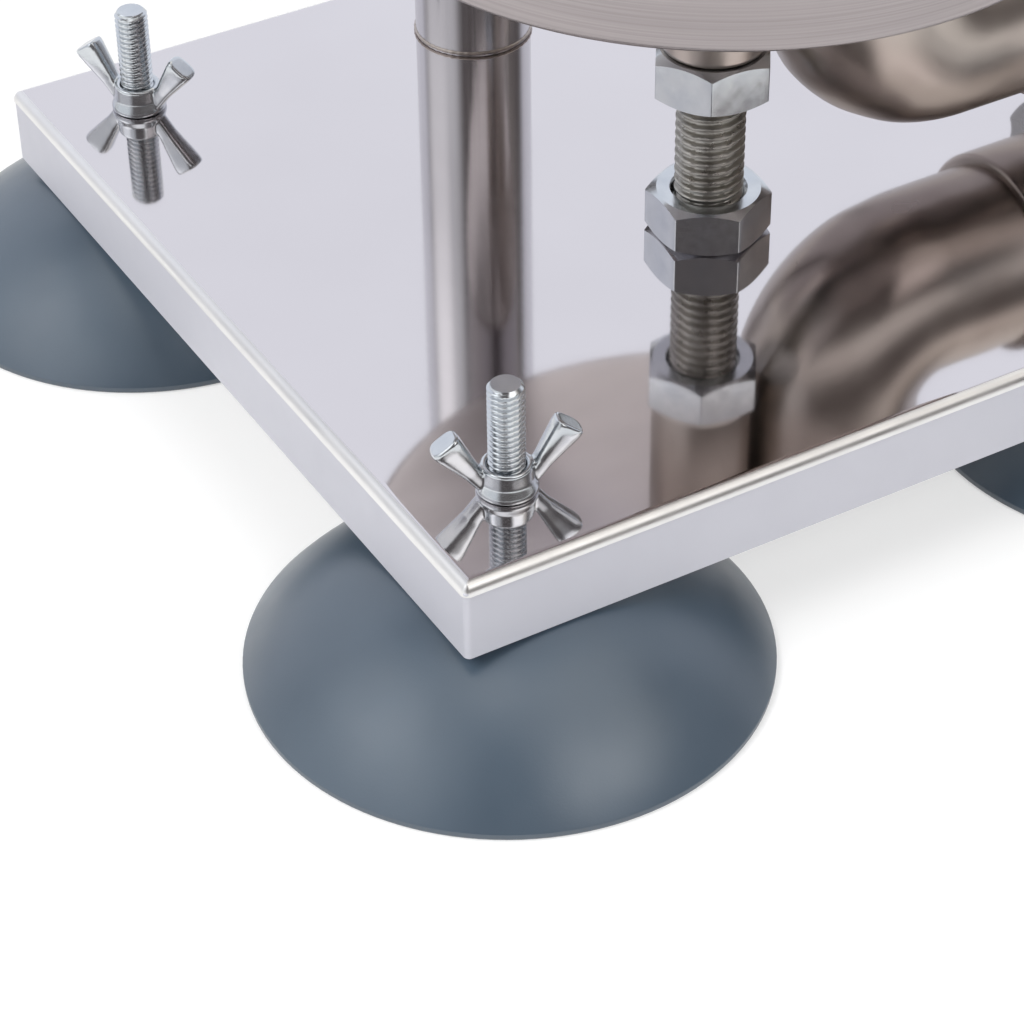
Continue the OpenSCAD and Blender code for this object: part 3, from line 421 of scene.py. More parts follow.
def polished_steel():
    steel = Surface("polished_steel", (0.6, 0.59, 0.61), 0.1)
    lines = steel.noise(1, 4, (1500, 1500, 12))
    steel.roughen(lines, 0.13, 0.22)
    steel.tint(steel.noise(30, 3), (0.57, 0.56, 0.575), (0.64, 0.63, 0.645))
    steel.bump((steel.noise(45, 2), 0.06 * MM), (lines, 0.002 * MM))
    return steel.material


# Steel of the elbow, ferrule, support post and column weld. Its uneven hand polish is real, in the patchy
# roughness and bumps. Its dark brown tone is painted reflection of a dark warm room.
def hand_polish_painted_reflection_steel():
    steel = Surface("hand_polish_painted_reflection_steel", (0.46, 0.43, 0.41), 0.18)
    mottle_painted_reflection = steel.noise(55, 2)
    # The patches tint the steel between dark and light brown: partly patchy polish, partly painted
    # reflection.
    steel.tint(mottle_painted_reflection, (0.35, 0.3, 0.275), (0.55, 0.495, 0.45), 0.15, 0.85)
    steel.roughen(mottle_painted_reflection, 0.24, 0.39, 0.15, 0.85)
    steel.bump((steel.noise(70, 1), 0.12 * MM), (steel.noise(900, 1), 0.004 * MM))
    return steel.material


def burnt_weld():
    steel = Surface("burnt_weld", (0.22, 0.17, 0.14), 0.5)
    steel.tint(steel.noise(300, 4), (0.17, 0.13, 0.11), (0.3, 0.25, 0.22))
    steel.roughen(steel.noise(700, 3), 0.42, 0.6)
    steel.bump((steel.noise(1200, 3), 0.02 * MM))
    return steel.material


def underside_steel():
    steel = Surface("underside_steel", (0.5, 0.47, 0.47), 0.2)
    haze = steel.noise(35, 2, (1, 2.5, 1))
    steel.tint(haze, (0.7, 0.655, 0.65), (0.84, 0.79, 0.785))
    steel.roughen(haze, 0.3, 0.36)
    round_lines = steel.add("ShaderNodeTangent", direction_type="RADIAL", axis="Z")
    steel.join(round_lines.outputs["Tangent"], steel.shader, "Tangent")
    steel.set("Anisotropic", 0.85)
    steel.set("Anisotropic Rotation", 0.25)
    steel.bump((steel.noise(26, 2), 0.3 * MM), (steel.noise(900, 3, (1, 0.05, 1)), 0.002 * MM))
    return steel.material


def zinc_plate():
    zinc = Surface("zinc_plate", (0.6, 0.63, 0.66), 0.28)
    zinc.tint(zinc.noise(220, 4), (0.56, 0.59, 0.625), (0.645, 0.668, 0.685))
    zinc.roughen(zinc.noise(420, 4), 0.15, 0.25)
    zinc.bump((zinc.noise(500, 3), 0.005 * MM))
    return zinc.material


def plain_bolt_steel():
    steel = Surface("plain_bolt_steel", (0.42, 0.405, 0.375), 0.33)
    steel.tint(steel.noise(160, 4), (0.36, 0.345, 0.315), (0.5, 0.485, 0.455))
    steel.roughen(steel.noise(500, 3), 0.24, 0.42)
    steel.bump((steel.noise(1500, 3), 0.006 * MM))
    return steel.material


def cup_rubber():
    rubber = Surface("cup_rubber", (0.059, 0.086, 0.118), 0.33, metallic=0.0)
    rubber.set("Specular IOR Level", 1.0)
    rubber.tint(rubber.noise(24, 4), (0.052, 0.076, 0.105), (0.066, 0.096, 0.131))
    rubber.roughen(rubber.noise(90, 4), 0.28, 0.38)
    rubber.bump((rubber.noise(2600, 3), 0.012 * MM), (rubber.noise(60, 2), 0.12 * MM))
    return rubber.material


def pale_polymer(name, first, last, roughness):
    polymer = Surface(name, first, roughness[0], metallic=0.0)
    polymer.set("Subsurface Weight", 0.12)
    polymer.set("Subsurface Scale", 1.5 * MM)
    polymer.tint(polymer.noise(60, 3), first, last)
    polymer.roughen(polymer.noise(300, 3), *roughness)
    polymer.bump((polymer.noise(1500, 2), 0.015 * MM))
    return polymer.material


def black_plastic():
    plastic = Surface("black_plastic", (0.016, 0.016, 0.017), 0.4, metallic=0.0)
    plastic.tint(plastic.noise(80, 4), (0.012, 0.012, 0.013), (0.024, 0.024, 0.025))
    plastic.roughen(plastic.noise(400, 3), 0.34, 0.5)
    plastic.bump((plastic.noise(1800, 2), 0.05 * MM))
    return plastic.material


def bush_bronze():
    bronze = Surface("bush_bronze", (0.46, 0.29, 0.12), 0.36)
    bronze.tint(bronze.noise(300, 4), (0.38, 0.23, 0.09), (0.55, 0.36, 0.17))
    bronze.roughen(bronze.noise(700, 3), 0.28, 0.46)
    bronze.bump((bronze.noise(2500, 2), 0.02 * MM))
    return bronze.material


def spring_steel():
    steel = Surface("spring_steel", (0.05, 0.05, 0.055), 0.34)
    steel.tint(steel.noise(250, 4), (0.035, 0.035, 0.04), (0.085, 0.08, 0.08))
    steel.roughen(steel.noise(500, 3), 0.26, 0.45)
    steel.bump((steel.noise(1500, 2), 0.01 * MM))
    return steel.material


MIRROR = mirror_steel()
SATIN = satin_steel()
FOLD_PAINTED_HIGHLIGHT = fold_steel_painted_highlight()
POLISHED = polished_steel()
HAND_POLISH_PAINTED_REFLECTION = hand_polish_painted_reflection_steel()
BURNT = burnt_weld()
UNDERSIDE = underside_steel()
ZINC = zinc_plate()
BOLT_STEEL = plain_bolt_steel()
RUBBER = cup_rubber()
SILICONE = pale_polymer("white_silicone", (0.72, 0.72, 0.69), (0.8, 0.8, 0.77), (0.4, 0.55))
NYLON = pale_polymer("white_nylon", (0.7, 0.69, 0.63), (0.78, 0.77, 0.72), (0.32, 0.46))
BLACK = black_plastic()
BRONZE = bush_bronze()
SPRING = spring_steel()
WARM = ((0.33, 0.297, 0.299), (0.42, 0.38, 0.382))
GREY = ((0.41, 0.405, 0.405), (0.48, 0.475, 0.475))
ROUND_BRUSHED = brushed("round_brushed_steel", *WARM, (45, 45, 9000), (0.32, 0.42), 0.006 * MM)
TUBE_BRUSHED = brushed("tube_brushed_steel", *GREY, (1200, 25, 25), (0.25, 0.3), 0.0012 * MM)
LEVEL_BRUSHED = brushed("level_brushed_steel", *GREY, (3000, 25, 3000), (0.24, 0.4), 0.012 * MM)
UPRIGHT_BRUSHED = brushed("upright_brushed_steel", *GREY, (3000, 3000, 25), (0.24, 0.4), 0.012 * MM)
MACHINED = brushed("machined_steel", *GREY, (1800, 1800, 400), (0.22, 0.36), 0.01 * MM)


# Pan

FLAT_GAP = 0.01 * MM
SHEET = 1.2 * MM
FOLD_R = 2.1 * MM
GROOVE = 0.25 * MM
CORNER_R = 1.3 * MM
LEAST_R = 0.15 * MM
HEM = 0.3 * MM
FOLD_STEPS = 8
CORNER_STEPS = 6
WELD_TIP = Vector((0.9, 0.8, 0.6)) * MM
WELD_INSET = 1 * MM
WELD_DROP = 0.8
EDGE_FROM = 0.01
BALL_COUNT = 24
BALL_ROWS = 12


def square_ring(half, inset, radius, z):
    """Row of points round a square with round corners."""
    x = half.x - inset
    y = half.y - inset
    corners = ((x, y, radius), (-x, y, radius), (-x, -y, radius), (x, -y, radius))
    return [(a, b, z) for a, b in rounded(corners, steps=CORNER_STEPS)]


def ball(size):
    steps = [math.pi * k / BALL_ROWS for k in range(1, BALL_ROWS)]
    profile = [(0, -1)] + [(math.sin(a), -math.cos(a)) for a in steps] + [(0, 1)]
    points, faces = turned(profile, BALL_COUNT)
    return [(p[0] * size.x, p[1] * size.y, p[2] * size.z) for p in points], faces


def base_pan():
    low, high = span("base_pan")
    half = (high - low) / 2
    top = high.z
    turn = [math.pi / 2 * k / FOLD_STEPS for k in range(FOLD_STEPS + 1)]

    def fold(radius, inset, z):
        """Rows round a fold, from the level face to the flange."""
        return [(inset + radius * (1 - math.sin(a)), z - radius * (1 - math.cos(a))) for a in turn]

    outer = [(FOLD_R + HEM, top)] + fold(FOLD_R, 0, top)
    hem = [(GROOVE, top - FOLD_R), (GROOVE, low.z + HEM), (GROOVE + HEM, low.z), (SHEET - HEM, low.z),
           (SHEET, low.z + HEM)]
    inner = fold(FOLD_R - SHEET, SHEET, top - SHEET)[::-1] + [(FOLD_R + HEM, top - SHEET)]
    rows = [square_ring(half, d, max(CORNER_R - d, LEAST_R), z) for d, z in outer + hem + inner]
    shape = Shape()
    points, faces = lofted(rows, caps=True)
    shape.add((points, faces))
    # Marks: 1 for the satin flange, 2 for the fold, whose lighter tone is painted highlight, 0 for the
    # mirror plate.
    for k, face in enumerate(faces):
        highest = max(points[i][2] for i in face)
        if highest < top - FOLD_R + FLAT_GAP:
            shape.marks[k] = 1
        elif highest < top - EDGE_FROM * FOLD_R:
            shape.marks[k] = 2
    for x in (-1, 1):
        for y in (-1, 1):
            spot = (x * (half.x - WELD_INSET), y * (half.y - WELD_INSET), top - WELD_DROP * FOLD_R)
            shape.add(ball(WELD_TIP), at(*spot, x * y * 45), 1)
    make("base_pan", shape, MIRROR, SATIN, FOLD_PAINTED_HIGHLIGHT, sharp=40)


# Suction cups and studs

LIP_H = 1.2 * MM
LIP_W = 4 * MM
LIP_ROUNDS = (0.45 * MM, 0.35 * MM)
LIP_STEP = 0.25 * MM
LIP_JOIN = 2
CUP_GAP = 0.7 * MM
CUP_COUNT = 128
HOLLOW_H = 10 * MM
NECK_R = 12 * MM
NECK_FLARE = 2 * MM
NECK_ROUNDS = (1.6 * MM, 0.5 * MM)
DOME_STEPS = 40
STUD_D = 6 * MM
STUD_PITCH = 1 * MM
STUD_BEVEL = 0.75 * MM
STUD_HEAD_R = 7.5 * MM
STUD_HEAD_H = 2 * MM
STUD_CORE_R = 0.44 * STUD_D
STUD_CORE_TOP = 1.4 * MM
STUD_THREAD_LOW = 1.5 * MM
STUD_TURN = 40
STUD_COUNT = 48


def cap_radius(rim, height):
    """Radius of the ball whose cap has that rim and height."""
    return (rim * rim + height * height) / (2 * height)


def suction_cup(foot):
    node = "cup_" + foot
    low, high = span(node)
    place = middle(node)
    rim = (high.x - low.x) / 2
    pan_low, pan_high = span("base_pan")
    inset = pan_high.x - abs(place.x)
    under = pan_low.z - CUP_GAP
    dome_z = (rim ** 2 + LIP_H ** 2 - inset ** 2 - under ** 2) / (2 * (LIP_H - under))
    dome_r = math.hypot(rim, LIP_H - dome_z)
    radii = [rim - LIP_STEP + (NECK_R + NECK_FLARE - rim) * k / DOME_STEPS for k in range(DOME_STEPS + 1)]
    dome = [(r, dome_z + math.sqrt(dome_r ** 2 - r ** 2)) for r in radii]
    lip = rounded(((rim - LIP_W, 0, 0), (rim, 0, LIP_ROUNDS[0]), (rim, LIP_H, LIP_ROUNDS[1]),
                   (*dome[LIP_JOIN], 0)), loop=False)
    neck_z = dome_z + math.sqrt(dome_r ** 2 - NECK_R ** 2)
    neck = rounded(((*dome[-1], 0), (NECK_R, neck_z, NECK_ROUNDS[0]), (NECK_R, high.z, NECK_ROUNDS[1]),
                    (0, high.z, 0)), loop=False)
    hollow_r = cap_radius(rim - LIP_W, HOLLOW_H)
    hollow = []
    for k in range(DOME_STEPS):
        r = (rim - LIP_W) * k / DOME_STEPS
        hollow.append((r, HOLLOW_H - hollow_r + math.sqrt(hollow_r ** 2 - r ** 2)))
    profile = hollow + lip + dome[LIP_JOIN + 1:-1] + neck
    shape = Shape().add(turned(profile, CUP_COUNT), at(place.x, place.y, 0))
    make(node, shape, RUBBER, sharp=60)


def foot_studs():
    low, high = span("foot_studs")
    pan_top = span("base_pan")[1].z
    head_top = low.z + STUD_HEAD_H
    core_top = pan_top - STUD_CORE_TOP
    thread = threaded(STUD_D, STUD_PITCH, pan_top - STUD_THREAD_LOW, high.z, (0, STUD_BEVEL), STUD_COUNT)
    shank = turned([(0, low.z), (STUD_HEAD_R, low.z), (STUD_HEAD_R, head_top), (STUD_CORE_R, head_top),
                    (STUD_CORE_R, core_top), (0, core_top)], STUD_COUNT)
    shape = Shape()
    for k, foot in enumerate(FEET):
        place = middle("cup_" + foot)
        spot = at(place.x, place.y, 0, STUD_TURN * k)
        shape.add(thread, spot)
        shape.add(shank, spot)
    make("foot_studs", shape, ZINC, sharp=38)


# Wing nuts

WING_VOXEL = 0.2 * MM
WING_HUB = ((5.0, 0, 0.3), (5.0, 0.8, 0.4), (4.3, 2.3, 0.8), (4.15, 5.0, 0.5), (3.3, 5.0, 0.3),
            (3.0, 4.4, 0.1), (3.0, 0, 0.1))
WING_ROOT = Vector((4.0, 2.0)) * MM
WING_TIP = Vector((9.95, 10.3)) * MM
WING_END = 0.4 * MM
# Along a wing: share of its length, half its width and half its thickness in mm
WING_SIZES = ((0, 1.35, 1.5), (0.3, 1.5, 1.55), (0.6, 2.0, 1.85), (0.9, 2.5, 2.1), (1, 2.55, 2.1))
WING_SQUARE = 0.62
WING_COUNT = 48
# Rounding of a wing's end: share of WING_END, and what is left of the width and thickness there
WING_ROUND = ((0.7, 0.93), (1, 0.8))
SOFTEN_SHARE = 0.5
SOFTEN_TIMES = 4
TIP_SHARE = 0.97


def wing_bar(side):
    """One wing: a stout bar that widens to a flat end with round corners."""
    way = (WING_TIP - WING_ROOT).normalized()
    across = Vector((-way.y, way.x))
    rows = []

    def section(centre, width, thick):
        row = []
        for c, s, _ in ring(1, 0, WING_COUNT):
            a = math.copysign(abs(c) ** WING_SQUARE, c) * width * MM
            b = math.copysign(abs(s) ** WING_SQUARE, s) * thick * MM
            spot = centre + across * a
            row.append((spot.x * side, b, spot.y))
        rows.append(row)

    for share, width, thick in WING_SIZES:
        section(WING_ROOT.lerp(WING_TIP, share), width, thick)
    for share, left in WING_ROUND:
        section(WING_TIP + way * share * WING_END, width * left, thick * left)
    return lofted(rows, caps=True)


def wing_nut_mesh():
    """A wing nut's hub and wings under one skin."""
    profile = rounded([(r * MM, z * MM, radius * MM) for r, z, radius in WING_HUB])
    shape = Shape().add(turned(profile, loop=True))
    for side in (-1, 1):
        shape.add(wing_bar(side))
    rough = bpy.data.objects.new("wing_nut_parts", mesh_of("wing_nut_parts", shape))
    bpy.context.scene.collection.objects.link(rough)
    remesh = rough.modifiers.new("one_skin", "REMESH")
    remesh.mode = "VOXEL"
    remesh.voxel_size = WING_VOXEL
    soften = rough.modifiers.new("soften", "SMOOTH")
    soften.factor = SOFTEN_SHARE
    soften.iterations = SOFTEN_TIMES
    depsgraph = bpy.context.evaluated_depsgraph_get()
    skin = bpy.data.meshes.new_from_object(rough.evaluated_get(depsgraph))
    bpy.data.objects.remove(rough)
    return skin


def wing_turn(node):
    """Angle of a wing nut, from the node's points that lie furthest from its stud."""
    place = middle(node)
    points = [v.co - place for v in frame["nodes"][node].data.vertices]
    reach = max(math.hypot(p.x, p.y) for p in points)
    tips = [p for p in points if math.hypot(p.x, p.y) > TIP_SHARE * reach and p.x > 0]
    return math.atan2(sum(p.y for p in tips), sum(p.x for p in tips))


def wing_nuts():
    skin = wing_nut_mesh()
    for foot in FEET:
        node = "wing_nut_" + foot
        place = middle(node)
        mesh = skin.copy()
        mesh.transform(at(place.x, place.y, span(node)[0].z, math.degrees(wing_turn(node))))
        finished(node, mesh, [ZINC], sharp=60)


# Column

COLUMN_R = 11 * MM
COLUMN_WALL = 1.5 * MM
COLUMN_ROUNDS = (0.5 * MM, 0.4 * MM)
BEAD_R = 0.32 * MM
BEAD_LIFT = 0.5 * MM
BEAD_SIDES = 12
BEAD_RIPPLES = 46
RIPPLE_STEPS = 5
RIPPLE = 0.1
UNEVEN = 0.16
UNEVEN_REACH = 3
UNEVEN_LEVEL = 7


def weld_bead(radius, z, ripples=BEAD_RIPPLES):
    """Ring of weld with the ripples of a hand-held torch."""
    count = ripples * RIPPLE_STEPS
    rows = []
    for a in range(BEAD_SIDES):
        angle = 2 * math.pi * a / BEAD_SIDES
        row = []
        for k in range(count):
            spin = 2 * math.pi * k / count
            spot = Vector((UNEVEN_REACH * math.cos(spin), UNEVEN_REACH * math.sin(spin), UNEVEN_LEVEL))
            swell = BEAD_R * (1 + RIPPLE * math.cos(ripples * spin) + UNEVEN * noise.noise(spot))
            r = radius + swell * math.cos(angle)
            row.append((r * math.cos(spin), r * math.sin(spin), z + swell * math.sin(angle)))
        rows.append(row)
    return lofted(rows, loop=True)


def column():
    low, high = span("column")
    place = middle("column")
    spot = at(place.x, place.y, 0)
    bore = COLUMN_R - COLUMN_WALL
    wall = rounded(((bore, low.z, 0), (COLUMN_R, low.z, 0), (COLUMN_R, high.z, COLUMN_ROUNDS[0]),
                    (bore, high.z, COLUMN_ROUNDS[1])))
    shape = Shape().add(turned(wall, loop=True), spot)
    shape.add(weld_bead(COLUMN_R, low.z + BEAD_LIFT), spot, 1)
    make("column", shape, POLISHED, HAND_POLISH_PAINTED_REFLECTION)


# Cylinder and its support

CYL_R = 62 * MM
CYL_BORE = 61 * MM
CYL_COUNT = 192
FLOOR_T = 1.5 * MM
FLOOR_ROUND = 2 * MM
FLOOR_ROUND_MID = 0.6 * MM
FOOT_ROUND = 1.2 * MM
RIM_R = 2 * MM
RIM_FROM = 60
RIM_STEP = 15
RIM_POINTS = 19
OUTLET_R = 15.75 * MM
POST_R = 9 * MM
POST_ROUND = 3.4 * MM
POST_TOP_ROUND = 0.1 * MM
POST_BORE_H = 17 * MM
POST_BEAD_OUT = 0.2 * MM
POST_BEAD_DROP = 0.7 * MM
POST_RIPPLES = 30
SUPPORT_D = 12 * MM
SUPPORT_BORE = 6.05 * MM
SUPPORT_PITCH = 1.75 * MM
SUPPORT_BEVEL = 0.9 * MM
SUPPORT_COUNT = 72
SUPPORT_AF = 19 * MM
UPPER_TURN = 56
LOWER_TURN = 26


def cylinder():
    low, high = span("cylinder")
    place = middle("cylinder")
    hole_x = outlet_leg_x() - place.x
    floor_z = low.z + FLOOR_T
    rim_z = high.z - 2 * RIM_R
    wall = rounded(((CYL_R - 3 * FOOT_ROUND, low.z, 0), (CYL_R, low.z, FOOT_ROUND), (CYL_R, rim_z, 0)),
                   loop=False)
    rim_r = CYL_BORE + RIM_R
    turns = [math.radians(RIM_FROM + RIM_STEP * k) for k in range(RIM_POINTS)]
    rim = [(rim_r - RIM_R * math.cos(a), high.z - RIM_R - RIM_R * math.sin(a)) for a in turns]
    inside = [(CYL_BORE, rim_z), (CYL_BORE, floor_z + FLOOR_ROUND),
              (CYL_BORE - FLOOR_ROUND_MID, floor_z + FLOOR_ROUND_MID), (CYL_BORE - FLOOR_ROUND, floor_z)]
    rows = [ring(r, z, CYL_COUNT) for r, z in wall + rim + inside]
    rows += [ring(OUTLET_R, floor_z, CYL_COUNT, hole_x), ring(OUTLET_R, low.z, CYL_COUNT, hole_x)]
    points, faces = lofted(rows, loop=True)
    shape = Shape().add((points, faces), at(place.x, place.y, 0))
    for k, face in enumerate(faces):
        if max(points[i][2] for i in face) < low.z + FLAT_GAP:
            shape.marks[k] = 1
    make("cylinder", shape, ROUND_BRUSHED, UNDERSIDE, sharp=40)


def support():
    low, high = span("support_post")
    place = middle("support_post")
    spot = at(place.x, place.y, 0)
    bore_z = low.z + POST_BORE_H
    profile = rounded(((SUPPORT_BORE, low.z, 0), (POST_R, low.z, POST_ROUND),
                       (POST_R, high.z, POST_TOP_ROUND), (0, high.z, 0),
                       (0, bore_z, 0), (SUPPORT_BORE, bore_z, 0)), loop=False)
    post = Shape().add(turned(profile, loop=True), spot)
    post.add(weld_bead(POST_R + POST_BEAD_OUT, high.z - POST_BEAD_DROP, POST_RIPPLES), spot, 1)
    make("support_post", post, HAND_POLISH_PAINTED_REFLECTION, BURNT)
    stud_low, stud_high = span("support_stud")
    bevels = (SUPPORT_BEVEL, SUPPORT_BEVEL)
    thread = threaded(SUPPORT_D, SUPPORT_PITCH, stud_low.z, stud_high.z, bevels, SUPPORT_COUNT)
    make("support_stud", Shape().add(thread, spot), BOLT_STEEL, sharp=50)
    nut_low, nut_high = span("support_nuts")
    pan_top = span("base_pan")[1].z
    height = pan_top - SHEET - nut_low.z
    nut = hex_nut(SUPPORT_AF, height, SUPPORT_BORE)
    nuts = Shape()
    for z, turn in ((nut_low.z, LOWER_TURN), (pan_top, LOWER_TURN), (nut_high.z - height, UPPER_TURN)):
        nuts.add(nut, at(place.x, place.y, z, turn))
    make("support_nuts", nuts, ZINC, sharp=24)


# Outlet

TUBE_R = 17.25 * MM
BEND_R = 18 * MM
BEND_STEPS = 48
LEG_STEPS = 8
DENT = 0.7 * MM
DENT_WIDTH = 11 * MM


def outlet_leg_x():
    return span("outlet_elbow")[0].x + TUBE_R


def outlet_elbow():
    low, high = span("outlet_elbow")
    y = middle("outlet_elbow").y
    leg_x = outlet_leg_x()
    level_z = low.z + TUBE_R
    bend = Vector((leg_x + BEND_R, y, level_z + BEND_R))
    path = []
    for k in range(LEG_STEPS):
        z = high.z + (bend.z - high.z) * k / LEG_STEPS
        path.append((Vector((leg_x, y, z)), 0.0))
    for k in range(BEND_STEPS + 1):
        a = math.pi / 2 * k / BEND_STEPS
        path.append((bend - BEND_R * Vector((math.cos(a), 0, math.sin(a))), a))
    for k in range(1, LEG_STEPS + 1):
        x = bend.x + (high.x - bend.x) * k / LEG_STEPS
        path.append((Vector((x, y, level_z)), math.pi / 2))

    def tube(radius, dent):
        """Rows of points along the path, pushed in by shallow dents."""
        rows = []
        for point, a in path:
            aside = Vector((-math.cos(a), 0, -math.sin(a)))
            row = []
            for k in range(RING_COUNT):
                spin = 2 * math.pi * k / RING_COUNT
                way = math.cos(spin) * aside + math.sin(spin) * Vector((0, 1, 0))
                spot = point + radius * way
                hollow = min(0, noise.noise(spot / DENT_WIDTH))
                row.append(tuple(spot - way * dent * hollow * hollow))
            rows.append(row)
        return rows

    rows = tube(TUBE_R, DENT) + tube(OUTLET_R, 0)[::-1]
    shape = Shape().add(lofted(rows, loop=True))
    shape.add(weld_bead(TUBE_R, high.z - BEAD_LIFT), at(leg_x, y, 0))
    make("outlet_elbow", shape, HAND_POLISH_PAINTED_REFLECTION, sharp=60)


# Ferrule and filling tube

FERRULE_COLLAR = 15 * MM
FERRULE_ROUNDS = (0.9 * MM, 0.5 * MM)
FERRULE_FALL = 0.6 * MM
FERRULE_UNDERCUT = 1.2 * MM
FERRULE_LIP = 0.4 * MM
FERRULE_PITCH = 2 * MM
FERRULE_DEPTH = 0.9 * MM
FERRULE_STEPS = 80


def outlet_ferrule():
    low, high = span("outlet_ferrule")
    place = middle("outlet_ferrule")
    length = high.x - low.x
    outer = (high.y - low.y) / 2
    collar = rounded(((OUTLET_R, 0, 0), (outer, 0, FERRULE_ROUNDS[0]),
                      (outer, FERRULE_COLLAR, FERRULE_ROUNDS[1]),
                      (outer - FERRULE_DEPTH, FERRULE_COLLAR + FERRULE_FALL, 0)), loop=False)
    rows = [ring(r, z) for r, z in collar]
    start = FERRULE_COLLAR + FERRULE_UNDERCUT
    for k in range(FERRULE_STEPS + 1):
        z = start + (length - start) * k / FERRULE_STEPS
        run_in = min(1, (z - start) / FERRULE_PITCH, (length - z + FERRULE_LIP) / FERRULE_PITCH)
        row = []
        for a, spoke in enumerate(ring(1, 0)):
            share = run_in * (1 - thread_cut(z / FERRULE_PITCH - a / RING_COUNT))
            radius = outer - FERRULE_DEPTH * (1 - share)
            row.append((spoke[0] * radius, spoke[1] * radius, z))
        rows.append(row)
    rows += [ring(OUTLET_R + FERRULE_LIP, length), ring(OUTLET_R, length - FERRULE_LIP)]
    shape = Shape().add(lofted(rows, loop=True), along_x(low.x, place.y, place.z))
    make("outlet_ferrule", shape, HAND_POLISH_PAINTED_REFLECTION)


HORN_FLANGE = 2 * MM
HORN_NECK = 5.2 * MM
HORN_TAPER = 24 * MM
HORN_NECK_R = 13.2 * MM
HORN_R = 11 * MM
HORN_WALL = 1 * MM
HORN_EDGE = 0.4 * MM
HORN_BORE_EDGE = 0.3 * MM
HORN_FILLET = 0.5 * MM
HORN_SHOULDER = 3 * MM
HORN_SWEEP = 8 * MM
HORN_TIP_ROUNDS = (0.5 * MM, 0.45 * MM)
HORN_STEPS = 6


def filling_tube():
    low, high = span("filling_tube")
    place = middle("filling_tube")
    length = high.x - low.x
    flange = (high.y - low.y) / 2
    taper = HORN_NECK + HORN_TAPER
    inner = HORN_NECK_R - HORN_WALL
    bore = HORN_R - HORN_WALL
    outside = ((flange, 0, HORN_EDGE), (flange, HORN_FLANGE, HORN_EDGE),
               (HORN_NECK_R, HORN_FLANGE, HORN_FILLET), (HORN_NECK_R, HORN_NECK, HORN_SHOULDER),
               (HORN_R, taper, HORN_SWEEP), (HORN_R, length, HORN_TIP_ROUNDS[0]))
    inside = ((bore, length, HORN_TIP_ROUNDS[1]), (bore, taper, HORN_SWEEP),
              (inner, HORN_NECK, HORN_SHOULDER))
    profile = rounded(((inner, 0, HORN_BORE_EDGE), *outside, *inside), steps=HORN_STEPS)
    shape = Shape().add(turned(profile, loop=True), along_x(low.x, place.y, place.z))
    make("filling_tube", shape, TUBE_BRUSHED)


# Screws with a cross recess

HEAD_TO_SHANK = 1.8
HEAD_CURVE = 3.2
CROSS_HALF = 0.15
CROSS_SLOPE = 0.05
CROSS_REACH = 0.62
CROSS_RUNOUT = 0.2
CROSS_DEPTH = 0.62
SCREW_STEPS = 26
SCREW_COUNT = 72
SCREW_TURN = 23
SCREW_TURN_STEP = 31


def solids(node):
    """Boxes of a node's separate solids."""
    build = bmesh.new()
    build.from_mesh(frame["nodes"][node].data)
    bmesh.ops.remove_doubles(build, verts=build.verts, dist=WELD_GAP)
    left = set(build.verts)
    boxes = []
    while left:
        todo = [left.pop()]
        group = []
        while todo:
            vert = todo.pop()
            group.append(vert.co.copy())
            for edge in vert.link_edges:
                other = edge.other_vert(vert)
                if other in left:
                    left.remove(other)
                    todo.append(other)
        boxes.append((Vector([min(c[k] for c in group) for k in range(3)]),
                      Vector([max(c[k] for c in group) for k in range(3)])))
    build.free()
    return sorted(boxes, key=lambda b: tuple(b[0]))


def cross_screw(radius, shank, length):
    """Pan-head screw along +Z, its seat at z = 0, its head as high as the shank's radius."""
    rows = [[(0, 0, shank * (1 - CROSS_DEPTH))]]
    for k in range(1, SCREW_STEPS + 1):
        share = k / SCREW_STEPS
        dome = shank * math.sqrt(max(0, 1 - share ** HEAD_CURVE))
        row = []
        for x, y, _ in ring(radius * share, 0, SCREW_COUNT):
            thin = min(abs(x), abs(y)) / radius
            wide = max(abs(x), abs(y)) / radius
            cut = eased((CROSS_HALF - thin) / CROSS_SLOPE) * eased((CROSS_REACH - wide) / CROSS_RUNOUT)
            row.append((x, y, dome - cut * CROSS_DEPTH * shank))
        rows.append(row)
    rows += [ring(shank, 0, SCREW_COUNT), ring(shank, -length, SCREW_COUNT), [(0, 0, -length)]]
    return lofted(rows)


def screws(node, axis):
    """A node's screws, which point outwards along X for axis 0 and up for axis 2."""
    shape = Shape()
    for k, (low, high) in enumerate(solids(node)):
        centre = (low + high) / 2
        size = high - low
        radius = size.y / 2
        shank = radius / HEAD_TO_SHANK
        if axis == 0:
            side = 1 if centre.x > 0 else -1
            tip = max(abs(low.x), abs(high.x))
            seat = Vector((side * (tip - shank), centre.y, centre.z))
            turn = Matrix.Rotation(side * math.pi / 2, 4, "Y")
        else:
            seat = Vector((centre.x, centre.y, high.z - shank))
            turn = Matrix()
        spin = Matrix.Rotation(math.radians(SCREW_TURN + SCREW_TURN_STEP * k), 4, "Z")
        screw = cross_screw(radius, shank, size[axis] - shank)
        shape.add(screw, Matrix.Translation(seat) @ turn @ spin)
    make(node, shape, ZINC, sharp=40)


# Grip

GRIP_END = 0.06
GRIP_INNER_END = 0.86
GRIP_OUTER_END = 0.8
GRIP_GROOVES = (0.12, 0.16, 0.84, 0.88)
GRIP_GROOVE_HALF = 0.009
GRIP_GROOVE_DEPTH = 0.7 * MM
GRIP_WAIST_R = 11 * MM
GRIP_BORE_R = 4.06 * MM
GRIP_POCKET_R = 6.8 * MM
GRIP_POCKET = 6 * MM
GRIP_STEPS = 220


